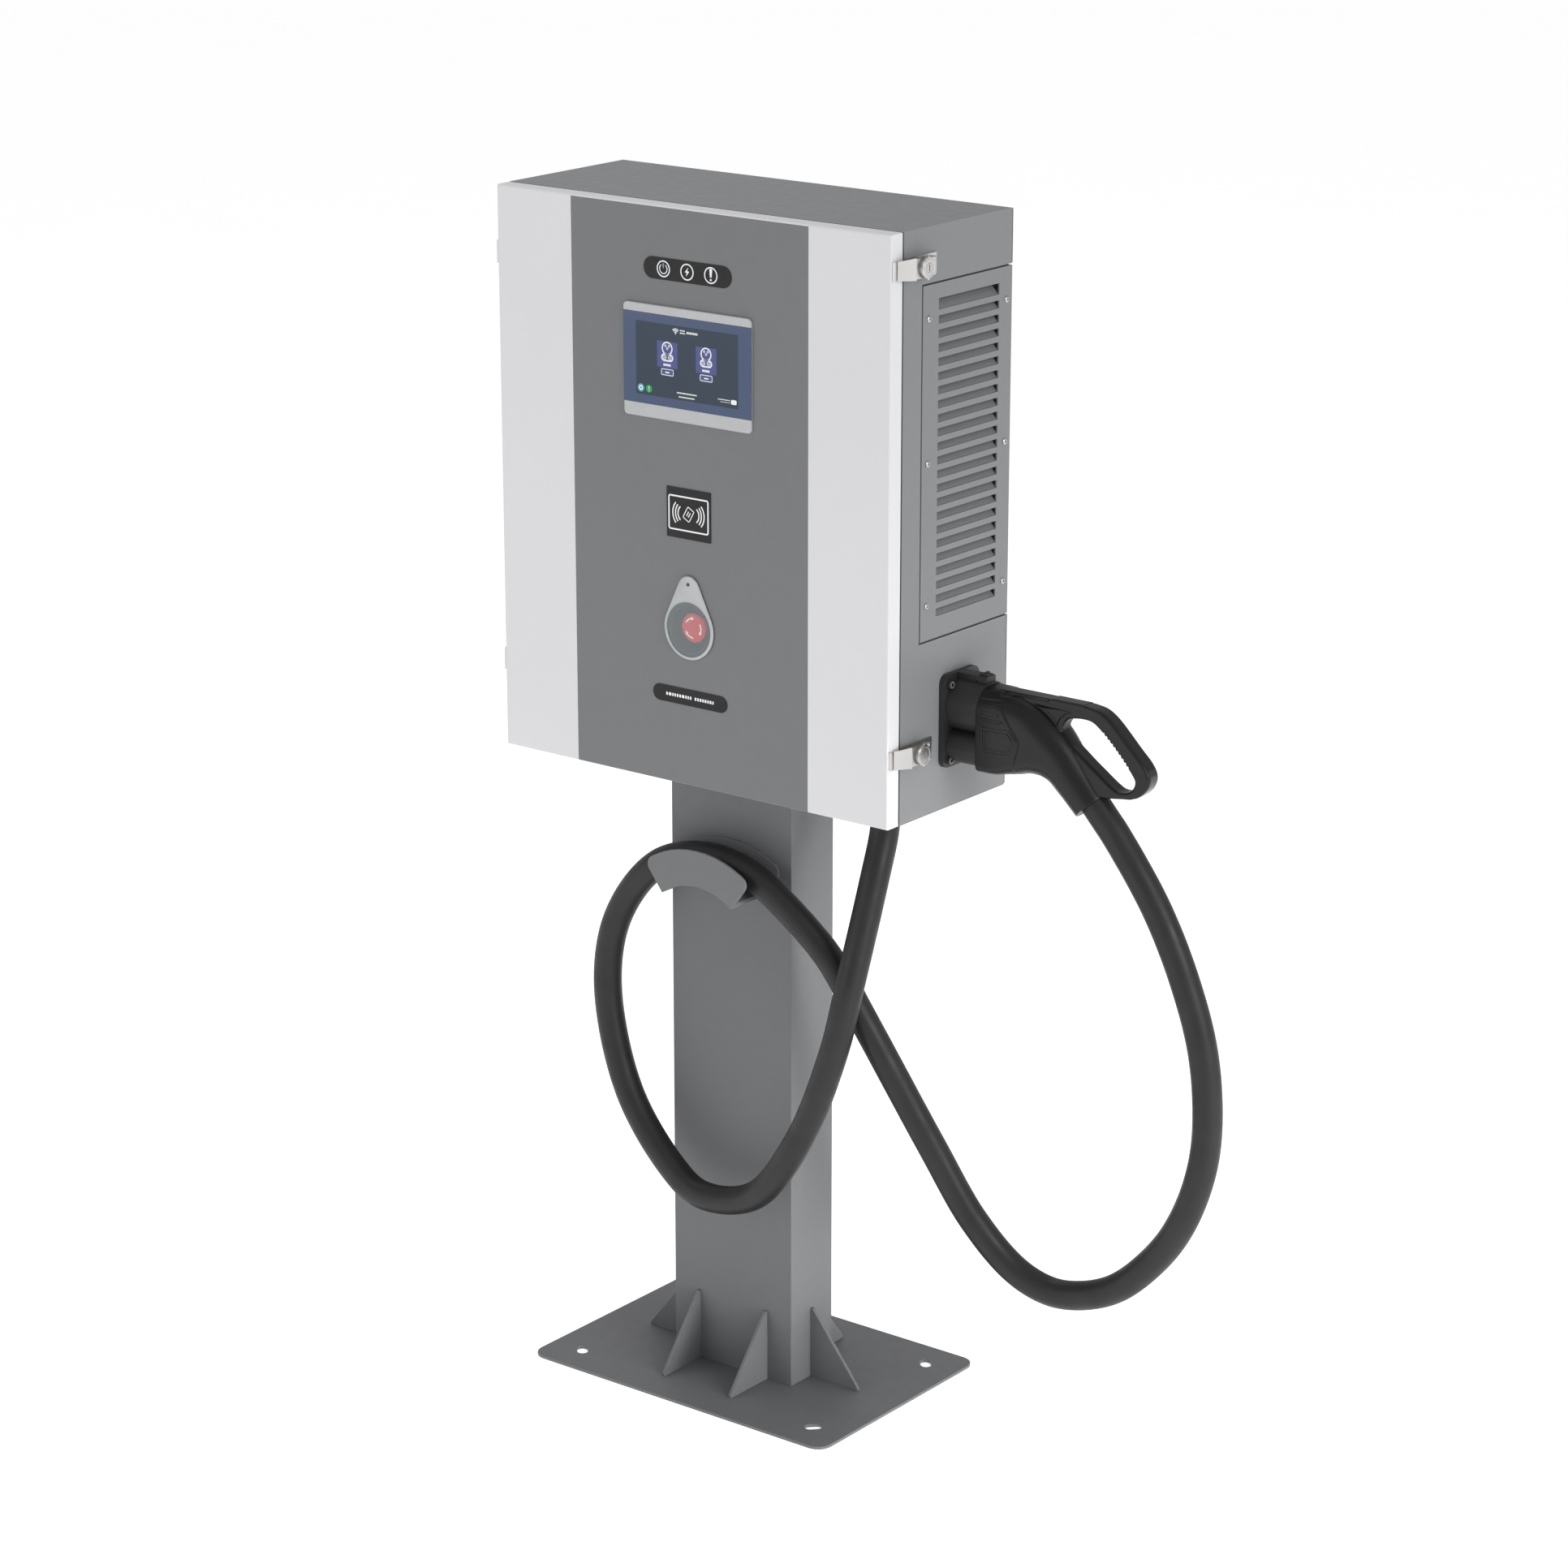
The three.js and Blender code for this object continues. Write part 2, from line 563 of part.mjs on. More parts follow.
const stopLens = () =>
  prism('y', circle(0, STOP.z, STOP.opening + 1, 36), DOOR.front - 2.6, DOOR.front - 1.4);

function stopButton() {
  const { z, radius, face, back } = BUTTON;
  const profile = [
    [face, radius - 5],
    [face + 0.8, radius - 2],
    [face + 3, radius],
    [back - 2.5, radius],
    [back, radius - 3],
  ];
  const dome = turned('y', 0, z, profile, 36);
  const grips = Array.from({ length: 12 }, (_, i) => {
    const angle = (Math.PI * i) / 6;
    const u = (radius + 1.6) * Math.cos(angle);
    const v = z + (radius + 1.6) * Math.sin(angle);
    return prism('y', circle(u, v, 2.6, 10), face - 1, back + 1);
  });
  const fit = BUTTON.stem + CLEARANCE;
  const socket = turned('y', 0, z, [[back - 5, fit], [back + 1, fit]], 20);
  return cut(dome, ...grips, socket);
}

const stopStem = () =>
  turned('y', 0, BUTTON.z,
    [
      [BUTTON.back - 4.5, BUTTON.stem], [-102, BUTTON.stem], [-102, 10],
      [-99.5, 10], [-99.5, 5.5], [-70, 5.5],
    ], 20);

// ---------------------------------------------------------------- latches
function latchKeeper(z) {
  const { half, lip } = LATCH;
  const plate = box(HALF_WIDTH, HALF_WIDTH + 1, -125, -106, z - 10, z + 10);
  const edge = prism('z', rounded(HALF_WIDTH, HALF_WIDTH + lip, -125.4, -121.4, 0.8, 2), z - half, z + half);
  return joined(plate, edge);
}

function latchBase(z) {
  const { pivotX, pivotY } = LATCH;
  const plate = box(HALF_WIDTH, HALF_WIDTH + 2.6, -101, -38, z - 13, z + 13);
  const lugOutline = [
    [HALF_WIDTH, pivotY - 6], [pivotX, pivotY - 6], ...arc(pivotX, pivotY, 6, -80, 80, 6),
    [pivotX, pivotY + 6], [HALF_WIDTH, pivotY + 6],
  ];
  const lugs = [[z - 11, z - 7], [z + 7, z + 11]].map(([low, high]) => prism('z', lugOutline, low, high));
  const pin = turned('z', pivotX, pivotY, [[z - 8, 2.5], [z + 8, 2.5]], 14);
  return joined(plate, ...lugs, pin);
}

function latchArm(z) {
  const { pivotX, pivotY, lockY, half, face, cap } = LATCH;
  const knuckle = turned('z', pivotX, pivotY, [[z - 6.7, 5.2], [z + 6.7, 5.2]], 18);
  const strap = box(pivotX - 4.6, face, pivotY - 10, pivotY, z - 6.7, z + 6.7);
  const section = (y, x0, x1, tall) =>
    [[x0, y, z - tall], [x0, y, z + tall], [x1, y, z + tall], [x1, y, z - tall]];
  const sloping = skinned([
    section(-120.2, HALF_WIDTH + 1.6, HALF_WIDTH + 3.8, half),
    section(-95, face - 2, face + 1, half + 2),
  ]);
  const flat = prism('x', rounded(-96, -66.5, z - half - 0.5, z + half + 0.5, 1, 2), face - 2.4, face);
  const housing = turned('x', lockY, z,
    [[pivotX - 4, 7], [face - 1, 7], [face - 1, 11], [cap.back, 11], [cap.back, cap.radius],
      [cap.front - 0.8, cap.radius], [cap.front, cap.radius - 0.8]], 32);
  const rivet = turned('z', (cap.back + cap.front) / 2, lockY, [[z - 14.9, 1.1], [z + 14.9, 1.1]], 10);
  const pinBore = prism('z', circle(pivotX, pivotY, 2.8, 14), z - 10, z + 10);
  const keyBore = turned('x', lockY, z, [[326, 6.3], [340, 6.3]], 20);
  return cut(joined(knuckle, strap, sloping, flat, housing, rivet), pinBore, keyBore);
}

function latchKey(z) {
  const { lockY, cap } = LATCH;
  const plug = turned('x', lockY, z, [[326.3, 6], [cap.front + 0.2, 6]], 20);
  return cut(plug, box(cap.front - 2, 340, lockY - 1, lockY + 1, z - 4, z + 4));
}

// ---------------------------------------------------------------- holster and connector
// Round upper lobe with a wide lower lobe, grown or shrunk by an offset; outline in (y, z).
function inletLobes(offset, from, to) {
  const { y, upperZ, lowerZ } = HOLSTER;
  const upper = prism('x', circle(y, upperZ, 30 + offset, 32), from, to);
  const lower = prism('x', pill(y, lowerZ, 58 + 2 * offset, 34 + 2 * offset, 8), from, to);
  const neck = prism('x', rectangle(y - 8 - offset, y + 8 + offset, lowerZ, upperZ), from, to);
  return joined(upper, lower, neck);
}

function holster() {
  const { y, face, mouth } = HOLSTER;
  const flange = prism('x', rounded(y - 39, y + 39, 909, 1031, 12), HALF_WIDTH, face);
  const barrel = inletLobes(5, face - 1, mouth);
  const bosses = [-27.5, 27.5].flatMap((dy) => [919, 1018.5].map((z) => {
    const pillar = turned('x', y + dy, z, [[face - 1, 5.5], [face + 5.5, 5.5], [face + 6, 5]], 16);
    return cut(pillar, prism('x', circle(y + dy, z, 2.4, 12), face + 0.5, face + 7));
  }));
  const pinBore = prism('z', circle(LOCK.x, y, LOCK.pin + CLEARANCE, 16), 1010, 1040);
  return cut(joined(flange, barrel, ...bosses), inletLobes(0, face - 3, mouth + 1), pinBore);
}

const LOCK = { x: 350, pin: 3, top: 1031, bottom: 1018.5 };

function lockBlock() {
  const { y, face, mouth } = HOLSTER;
  const block = box(face, mouth - 1.5, y - 9.5, y + 9.5, 1014, LOCK.top);
  const latchOutline = [[352, -1], [366, -1], [366, 2], [361.5, 2], [361.5, 3.6], [357.5, 3.6]];
  const bump = prism('y', latchOutline.map(([x, rise]) => [x, LOCK.top + rise]), y - 6.5, y + 6.5);
  const screwHole = prism('y', circle(351.5, 1023, 1.3, 10), y - 11, y - 7);
  const pinBore = prism('z', circle(LOCK.x, y, LOCK.pin + CLEARANCE, 16), 1000, LOCK.top - 2);
  return cut(joined(block, bump), inletLobes(5, face - 5, mouth + 5), pinBore, screwHole);
}

const lockPin = () =>
  turned('z', LOCK.x, HOLSTER.y, [[1019.6, LOCK.pin - 0.8], [1020.6, LOCK.pin], [1028, LOCK.pin]], 14);

function connectorNose() {
  const { face, mouth, y } = HOLSTER;
  const plug = inletLobes(-1.5, face + 2, mouth + 0.6);
  const pins = [[0, 0], [-11, 6], [11, 6], [-14, -6], [14, -6], [-6, -16], [6, -16]].map(([dy, dz]) =>
    prism('x', circle(y + dy, HOLSTER.upperZ + dz, 3.4, 12), face, face + 22));
  const powerPins = [-14, 14].map((dy) => prism('x', circle(y + dy, HOLSTER.lowerZ, 6, 14), face, face + 26));
  const notch = prism('z', circle(LOCK.x, y, LOCK.pin + 1, 14), 1012.5, 1030);
  return cut(plug, ...pins, ...powerPins, notch);
}

const SHELL_START = HOLSTER.mouth + 0.6;

// The connector's body is a tube that bends down from the holster to the cable. Each section stands
// across the tube: its centre, its lean from upright in degrees, half width, half height, top and
// bottom corner radii.
const BODY = [
  { x: SHELL_START, z: 966, lean: 0, wide: 37, tall: 53, crown: 30, corner: 12 },
  { x: SHELL_START + 1.5, z: 966, lean: 0, wide: 38, tall: 54, crown: 31, corner: 13 },
  { x: 395, z: 966, lean: 0, wide: 38, tall: 53.5, crown: 31, corner: 14 },
  { x: 418, z: 965, lean: 6, wide: 37, tall: 50, crown: 31, corner: 18 },
  { x: 440, z: 961, lean: 16, wide: 36, tall: 46, crown: 31, corner: 24 },
  { x: 462, z: 951, lean: 31, wide: 32.5, tall: 38, crown: 30, corner: 28 },
  { x: 484, z: 935, lean: 45, wide: 29, tall: 30, crown: 28, corner: 28 },
  { x: 501, z: 916.6, lean: 48, wide: 27.5, tall: 27.5, crown: 27, corner: 27 },
  { x: 524.5, z: 890.5, lean: 48, wide: 25, tall: 25, crown: 24.5, corner: 24.5 },
];
const TAIL = { ...BODY[BODY.length - 1], cableShift: 4.5, recess: 3, cableHole: 21.5 };

function bodySection({ x, z, lean, wide, tall, crown, corner }) {
  const outline = [
    ...arc(wide - corner, corner - tall, corner, -90, 0, 4),
    ...arc(wide - crown, tall - crown, crown, 0, 90, 5),
    ...arc(crown - wide, tall - crown, crown, 90, 180, 5),
    ...arc(corner - wide, corner - tall, corner, 180, 270, 4),
  ];
  const angle = THREE.MathUtils.degToRad(lean);
  return outline.map(([across, up]) =>
    [x + up * Math.sin(angle), HOLSTER.y + across, z + up * Math.cos(angle)]);
}

const connectorBody = () => skinned(BODY.map(bodySection));

// Turned about a line through the tail's end face, parallel to the tail; positions run out of the face.
const alongTail = (profile, sides) =>
  turned('z', -TAIL.cableShift, 0, profile, sides)
    .rotate([0, 90 + TAIL.lean, 0]).translate([TAIL.x, HOLSTER.y, TAIL.z]);

const GRIP = { half: 12, edge: 3, top: 1020 };

// Flat plate above and behind the tube, with the slanted hand hole that makes it a closed handle.
function gripPlate() {
  const { half, edge, top } = GRIP;
  const outer = smooth([
    [520, top], [538, 1017], [554, 1008], [590, 973.5], [608, 955], [613.5, 943], [611, 931], [602, 920],
    [588, 912], [572, 909.5], [548, 906],
  ], 20, false);
  const hole = smooth([
    [483, 984], [491, 971], [513, 954], [536, 938], [556, 924], [566, 919], [578, 919], [588, 925],
    [592, 935.5], [586, 946], [536, 995.5], [525, 1001], [503, 1001], [490, 997],
  ], 28, true);
  const shape = shapeOf([[384, top], [384, top - 20], [446, 966], [524, 904], ...outer.reverse()]);
  shape.holes.push(new THREE.Path(hole.map(([u, v]) => new THREE.Vector2(u, v))));
  return extruded('y', shape, HOLSTER.y - half + edge, HOLSTER.y + half - edge, {
    bevelEnabled: true, bevelThickness: edge, bevelSize: edge, bevelOffset: -edge, bevelSegments: 2,
  });
}

function connectorShell() {
  const bulk = joined(connectorBody(), gripPlate());
  const tailRecess = alongTail([[-TAIL.recess, TAIL.cableHole], [40, TAIL.cableHole]], 28);
  return cut(bulk, gripInsertZone(CLEARANCE), tailRecess);
}

// Region at the outer, lower corner of the handle that the insert fills.
function gripInsertZone(gap) {
  const outline = [
    [640, 900], [640, 951 + gap], [603 - gap, 951 + gap], [606.5 - gap, 942], [604 - gap, 933],
    [597 - gap, 926], [590 - gap, 922 + gap], [596 - gap, 900],
  ];
  const half = GRIP.half - GRIP.edge + gap;
  return prism('y', outline, HOLSTER.y - half, HOLSTER.y + half);
}

const gripInsert = () => gripPlate().intersect(gripInsertZone(0));

// ---------------------------------------------------------------- cable
const GLAND = { x: 234, y: -20, thread: 24.5, hex: 31 };

function cableCurve() {
  return curveThrough([
    [GLAND.x, GLAND.y, 900], [GLAND.x, GLAND.y, 858], [235, -24, 815], [239, -53, 749], [238, -101, 624],
    [219, -112, 527], [162, -113, 392], [86, -110, 298], [-6, -106, 277], [-56, -103, 302], [-137, -95, 391],
    [-179, -87, 529], [-163, -83, 630], [-93, -82, 718], [-13, -82, 744], [57, -81, 734], [121, -78, 696],
    [181, -71, 642], [228, -63, 570], [325, -36, 401], [379, -20, 310], [436, -8, 252], [485, -4, 234],
    [529, -1, 237], [586, 2, 261], [644, 5, 317], [679, 6, 371], [704, 8, 442], [711, 10, 508],
    [700, 13, 602], [669, 15, 690], [623, 17, 776], [560, 19, 858], [544, 19, 875.7], [527.9, 19, 893.5],
    [521.2, 19, 900.9],
  ]);
}

const cableBody = () => swept(cableCurve(), circle(0, 0, CABLE.radius, 12), 96);

const cableMain = () => cut(cableBody(), box(400, 800, -100, 100, CABLE.cutZ - 0.6, 1000));

// Rubber plug in the tail's end, with the short length of cable that leaves it.
function cableBoot() {
  const { recess, cableHole } = TAIL;
  const plugRadius = cableHole - 0.5;
  const plug = alongTail([[CLEARANCE - recess, plugRadius], [0, plugRadius], [1, CABLE.radius]], 28);
  const stub = cableBody().intersect(box(400, 800, -100, 100, CABLE.cutZ, 1000));
  const insideShell = alongTail([[-200, 60], [CLEARANCE - recess, 60]], 24);
  return joined(plug, cut(stub, insideShell));
}

function cableGland() {
  const { x, y, thread, hex } = GLAND;
  const body = joined(
    turned('z', x, y, [[822, 23], [826, 26], [838, 27.5]], 24),
    prism('z', circle(x, y, hex, 6), 838, CABINET.bottom),
    turned('z', x, y, [[CABINET.bottom - 1, thread], [868, thread]], 24),
  );
  const bore = turned('z', x, y, [[815, CABLE.radius + 0.4], [880, CABLE.radius + 0.4]], 28);
  return cut(body, joined(cableBody(), bore));
}

// ---------------------------------------------------------------- assembly
addPart('base_plate', basePlate(), GREY_PAINT);
addPart('column', column(), LIGHT_GREY_PAINT);
addGussets();
addPart('cable_saddle', cableSaddle(), GREY_PAINT);

addPart('cabinet_shell', cabinetShell(), LIGHT_GREY_PAINT);
addPart('rear_panel', rearPanel(), DARK_STEEL);
addPart('door_gasket', doorGasket(), RUBBER);
addPart('vent_panel', ventPanel(), LIGHT_GREY_PAINT);
ventScrewPlaces().forEach(([y, z], i) => addPart(`vent_screw_${i + 1}`, ventScrew(y, z), NICKEL));
addPart('fan_tray', fanTray(), DARK_STEEL);
addPart('fan_rotor_lower', fanRotor(FAN.heights[0]), BLACK_PLASTIC);
addPart('fan_rotor_upper', fanRotor(FAN.heights[1]), BLACK_PLASTIC);
addPart('mounting_plate', mountingPlate(), ZINC);
addPart('power_module', powerModule(), ZINC);
addPart('breaker', breaker(), BLACK_PLASTIC);
addPart('breaker_lever', breakerLever(), WHITE_PLASTIC);

addPart('door_panel', doorPanel(), WHITE_PAINT);
addPart('fascia', fascia(), GREY_PAINT);
addPart('display_bezel', displayBezel(), NICKEL);
addPart('display_glass', displayGlass(), GLASS);
addPart('light_strip', lightStrip(), BLACK_PLASTIC);
addPart('card_reader', cardReader(), BLACK_PLASTIC);
addPart('label_strip', labelStrip(), BLACK_PLASTIC);

addPart('stop_housing', stopHousing(), BLACK_PLASTIC);
addPart('stop_cover', stopCover(), NICKEL);
addPart('stop_lens', stopLens(), LENS);
addPart('stop_button', stopButton(), RED_PLASTIC);
addPart('stop_stem', stopStem(), BLACK_PLASTIC);

for (const [i, place] of ['upper', 'lower'].entries()) {
  addPart(`hinge_cabinet_leaf_${place}`, hingeLeaf(HINGE.heights[i], false), LIGHT_GREY_PAINT);
  addPart(`hinge_door_leaf_${place}`, hingeLeaf(HINGE.heights[i], true), WHITE_PAINT);
  addPart(`latch_keeper_${place}`, latchKeeper(LATCH.heights[i]), NICKEL);
  addPart(`latch_base_${place}`, latchBase(LATCH.heights[i]), NICKEL);
  addPart(`latch_arm_${place}`, latchArm(LATCH.heights[i]), NICKEL);
  addPart(`latch_key_${place}`, latchKey(LATCH.heights[i]), NICKEL);
}

addPart('holster', holster(), BLACK_PLASTIC);
addPart('lock_block', lockBlock(), BLACK_PLASTIC);
addPart('lock_pin', lockPin(), NICKEL);
addPart('connector_shell', connectorShell(), BLACK_PLASTIC);
addPart('connector_nose', connectorNose(), BLACK_PLASTIC);
addPart('grip_insert', gripInsert(), BLACK_PLASTIC);
addPart('cable_boot', cableBoot(), RUBBER);
addPart('charging_cable', cableMain(), RUBBER);
addPart('cable_gland', cableGland(), BLACK_PLASTIC);

export default post;
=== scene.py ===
import math

import bmesh
import bpy
import numpy as np
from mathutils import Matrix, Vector
from mathutils.bvhtree import BVHTree


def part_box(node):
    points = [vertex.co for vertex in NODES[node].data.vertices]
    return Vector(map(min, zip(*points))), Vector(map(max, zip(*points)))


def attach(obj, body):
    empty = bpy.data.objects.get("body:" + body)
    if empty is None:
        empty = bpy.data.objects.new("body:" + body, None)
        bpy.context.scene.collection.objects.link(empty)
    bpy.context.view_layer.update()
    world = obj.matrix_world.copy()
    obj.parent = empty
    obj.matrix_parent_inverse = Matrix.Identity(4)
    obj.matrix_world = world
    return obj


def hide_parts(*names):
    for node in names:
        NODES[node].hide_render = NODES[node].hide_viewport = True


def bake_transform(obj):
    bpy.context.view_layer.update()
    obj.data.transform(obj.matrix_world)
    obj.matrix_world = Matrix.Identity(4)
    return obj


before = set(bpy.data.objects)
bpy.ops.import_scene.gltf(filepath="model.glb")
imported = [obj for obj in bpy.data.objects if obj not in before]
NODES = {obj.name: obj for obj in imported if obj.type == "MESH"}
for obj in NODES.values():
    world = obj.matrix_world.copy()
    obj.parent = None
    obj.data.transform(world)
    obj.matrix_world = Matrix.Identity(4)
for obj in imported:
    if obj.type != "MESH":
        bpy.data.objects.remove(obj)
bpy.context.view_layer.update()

MM = 0.001
WELD = 0.001 * MM
PLACES = ("upper", "lower")


def rgb(red, green, blue):
    """Linear colour with alpha from 0-255 screen values."""
    def linear(value):
        value /= 255
        return value / 12.92 if value <= 0.04045 else ((value + 0.055) / 1.055) ** 2.4
    return (linear(red), linear(green), linear(blue), 1.0)


def shade(colour, factor):
    return tuple(min(1.0, channel * factor) for channel in colour[:3]) + (1.0,)


# -------------------- materials
class Surface:
    """A procedural material, built up from noise in the piece's own coordinates, in metres."""

    def __init__(self, name, colour, roughness, metallic=0.0):
        self.material = bpy.data.materials.new(name)
        self.material.use_nodes = True
        self.tree = self.material.node_tree
        self.shader = self.tree.nodes["Principled BSDF"]
        self.coordinates = self.node("ShaderNodeTexCoord").outputs["Object"]
        self.colour = colour
        self.bump_input = None
        self.shader.inputs["Base Color"].default_value = colour
        self.shader.inputs["Roughness"].default_value = roughness
        self.shader.inputs["Metallic"].default_value = metallic
        self.material.diffuse_color = colour

    def node(self, kind, **values):
        made = self.tree.nodes.new(kind)
        for key, value in values.items():
            if key in made.inputs:
                made.inputs[key].default_value = value
            else:
                setattr(made, key, value)
        return made

    def link(self, output, target):
        self.tree.links.new(output, target)

    def mix(self, amount):
        """A colour mix driven by an amount; gives its two colour inputs and its colour output."""
        made = self.node("ShaderNodeMix", data_type="RGBA")
        self.link(amount, made.inputs[0])
        first, second = (socket for socket in made.inputs if socket.type == "RGBA")
        return first, second, next(socket for socket in made.outputs if socket.type == "RGBA")

    def noise(self, scale, detail=2.0, stretch=(1, 1, 1), roughness=0.5):
        mapping = self.node("ShaderNodeMapping")
        mapping.inputs["Scale"].default_value = stretch
        self.link(self.coordinates, mapping.inputs["Vector"])
        noise = self.node("ShaderNodeTexNoise", Scale=scale, Detail=detail, Roughness=roughness)
        self.link(mapping.outputs["Vector"], noise.inputs["Vector"])
        return noise.outputs["Fac"]

    def spread(self, value, low, high, from_low=0.3, from_high=0.7):
        """Maps a 0-1 pattern onto low-high."""
        limits = {"From Min": from_low, "From Max": from_high, "To Min": low, "To Max": high}
        mapped = self.node("ShaderNodeMapRange", **limits)
        self.link(value, mapped.inputs["Value"])
        return mapped.outputs["Result"]

    def mottle(self, pattern, amount):
        """Varies the colour by a fraction either way."""
        darker, lighter, self.colour_output = self.mix(self.spread(pattern, 0, 1))
        darker.default_value = shade(self.colour, 1 - amount)
        lighter.default_value = shade(self.colour, 1 + amount)
        self.link(self.colour_output, self.shader.inputs["Base Color"])

    def uneven_gloss(self, pattern, low, high):
        self.link(self.spread(pattern, low, high), self.shader.inputs["Roughness"])

    def bump(self, pattern, distance):
        """Raises the surface with a pattern, on top of earlier bumps, by a distance in metres."""
        bump = self.node("ShaderNodeBump", Strength=1.0, Distance=distance)
        self.link(pattern, bump.inputs["Height"])
        if self.bump_input is not None:
            self.link(self.bump_input, bump.inputs["Normal"])
        self.bump_input = bump.outputs["Normal"]
        self.link(self.bump_input, self.shader.inputs["Normal"])

    def coat(self, weight, roughness=0.1):
        self.shader.inputs["Coat Weight"].default_value = weight
        self.shader.inputs["Coat Roughness"].default_value = roughness

    def shine(self, level):
        self.shader.inputs["Specular IOR Level"].default_value = level

    def screen_and_painted_glow(self, strength):
        """Lets the piece give off a little of its own colour: the display's own light on its screen, painted
        light everywhere else.
        """
        self.shader.inputs["Emission Color"].default_value = self.colour
        self.shader.inputs["Emission Strength"].default_value = strength

    def worn_and_highlit_edges(self, factor, radius=0.0012, amount=0.5):
        """Lightens the colour along edges: partly paint worn thin there, partly a painted highlight."""
        bevel = self.node("ShaderNodeBevel", Radius=radius)
        bevel.samples = 4
        geometry = self.node("ShaderNodeNewGeometry")
        dot = self.node("ShaderNodeVectorMath", operation="DOT_PRODUCT")
        self.link(bevel.outputs["Normal"], dot.inputs[0])
        self.link(geometry.outputs["Normal"], dot.inputs[1])
        # The lighter edge colour is partly wear and partly a painted highlight.
        painted, edge_wear_and_highlight, output = self.mix(self.spread(dot.outputs["Value"], amount, 0.0, 0.80, 0.995))
        self.link(self.colour_output, painted)
        edge_wear_and_highlight.default_value = shade(self.colour, factor)
        self.link(output, self.shader.inputs["Base Color"])


def powder_coat(name, colour, roughness=0.5):
    """Baked paint: a fine orange peel, slight drift in colour and gloss, edges a little lighter, partly worn
    and partly a painted highlight.
    """
    paint = Surface(name, colour, roughness)
    paint.mottle(paint.noise(5.0, 3.0), 0.01)
    paint.uneven_gloss(paint.noise(60.0, 3.0), roughness - 0.04, roughness + 0.05)
    paint.bump(paint.noise(1600.0, 2.0), 0.00003)
    paint.bump(paint.noise(420.0, 1.0), 0.00004)
    paint.worn_and_highlit_edges(1.25)
    return paint.material


def moulded_plastic(name, colour, roughness=0.42, grain=0.00006, shine=0.5):
    """Spark-eroded mould grain with a faint flow pattern in the gloss."""
    plastic = Surface(name, colour, roughness)
    plastic.shine(shine)
    plastic.mottle(plastic.noise(9.0, 2.0), 0.06)
    plastic.uneven_gloss(plastic.noise(25.0, 4.0), roughness - 0.06, roughness + 0.08)
    plastic.bump(plastic.noise(1100.0, 3.0), grain)
    # Edges a little lighter: partly worn plastic, partly a painted highlight.
    plastic.worn_and_highlit_edges(1.6, 0.0008, 0.35)
    return plastic.material


def gloss_plastic(name, colour, roughness=0.16, screen_and_painted_glow=0.0):
    """Polished moulding with faint waves under its skin; any light it gives off is painted light."""
    plastic = Surface(name, colour, roughness)
    plastic.screen_and_painted_glow(screen_and_painted_glow)
    plastic.mottle(plastic.noise(12.0, 2.0), 0.04)
    plastic.uneven_gloss(plastic.noise(40.0, 5.0), roughness, roughness + 0.10)
    plastic.bump(plastic.noise(120.0, 2.0), 0.00002)
    plastic.coat(0.4, 0.06)
    return plastic.material


def cable_rubber():
    """Extruded jacket: fine lengthwise drag marks, a dull bloom and scuffs in the gloss."""
    rubber = Surface("cable_jacket_rubber", rgb(29, 29, 30), 0.46)
    rubber.mottle(rubber.noise(22.0, 5.0), 0.16)
    rubber.uneven_gloss(rubber.noise(35.0, 5.0), 0.38, 0.54)
    rubber.bump(rubber.noise(900.0, 3.0), 0.00004)
    rubber.bump(rubber.noise(70.0, 2.0), 0.00006)
    rubber.shine(0.42)
    return rubber.material


def seal_rubber():
    """Foamed gasket, dull and slightly open."""
    rubber = Surface("seal_rubber", rgb(20, 20, 22), 0.7)
    rubber.mottle(rubber.noise(30.0, 4.0), 0.15)
    rubber.uneven_gloss(rubber.noise(80.0, 3.0), 0.62, 0.82)
    rubber.bump(rubber.noise(1400.0, 2.0), 0.00008)
    return rubber.material


def satin_metal(name, colour, roughness, stretch=(1, 1, 1), grain=1500.0):
    """Plated or brushed metal: fine scratches along one direction and soft stains."""
    metal = Surface(name, colour, roughness, 1.0)
    metal.mottle(metal.noise(18.0, 4.0), 0.04)
    scratches = metal.noise(grain, 4.0, stretch, 0.6)
    metal.uneven_gloss(scratches, roughness - 0.04, roughness + 0.07)
    metal.bump(scratches, 0.000006)
    return metal.material


def silver_paint():
    """Metallic lacquer with a sparkle of flake."""
    paint = Surface("silver_lacquer", rgb(177, 178, 180), 0.38, 0.35)
    paint.mottle(paint.noise(2600.0, 1.0), 0.10)
    paint.uneven_gloss(paint.noise(90.0, 3.0), 0.34, 0.46)
    paint.bump(paint.noise(1500.0, 2.0), 0.00002)
    paint.coat(0.25, 0.2)
    return paint.material


def printed_ink(name, colour, screen_and_painted_glow):
    """Screen print: slightly uneven, and giving off a little light: the display's own light on its screen,
    painted light on the door's prints and the button's arrows.
    """
    ink = Surface(name, colour, 0.45)
    ink.mottle(ink.noise(900.0, 3.0), 0.05)
    ink.bump(ink.noise(2500.0, 2.0), 0.00001)
    ink.screen_and_painted_glow(screen_and_painted_glow)
    return ink.material


def screen_glass(name, colour, roughness=0.14):
    """Cover glass over a dark backing: a soft drift in colour, prints in the gloss and a clear coat."""
    glass = Surface(name, colour, roughness)
    glass.shine(0.25)
    glass.mottle(glass.noise(6.0, 2.0), 0.05)
    glass.uneven_gloss(glass.noise(45.0, 6.0), roughness - 0.04, roughness + 0.08)
    glass.bump(glass.noise(30.0, 1.0), 0.00001)
    glass.coat(0.15, 0.05)
    return glass.material


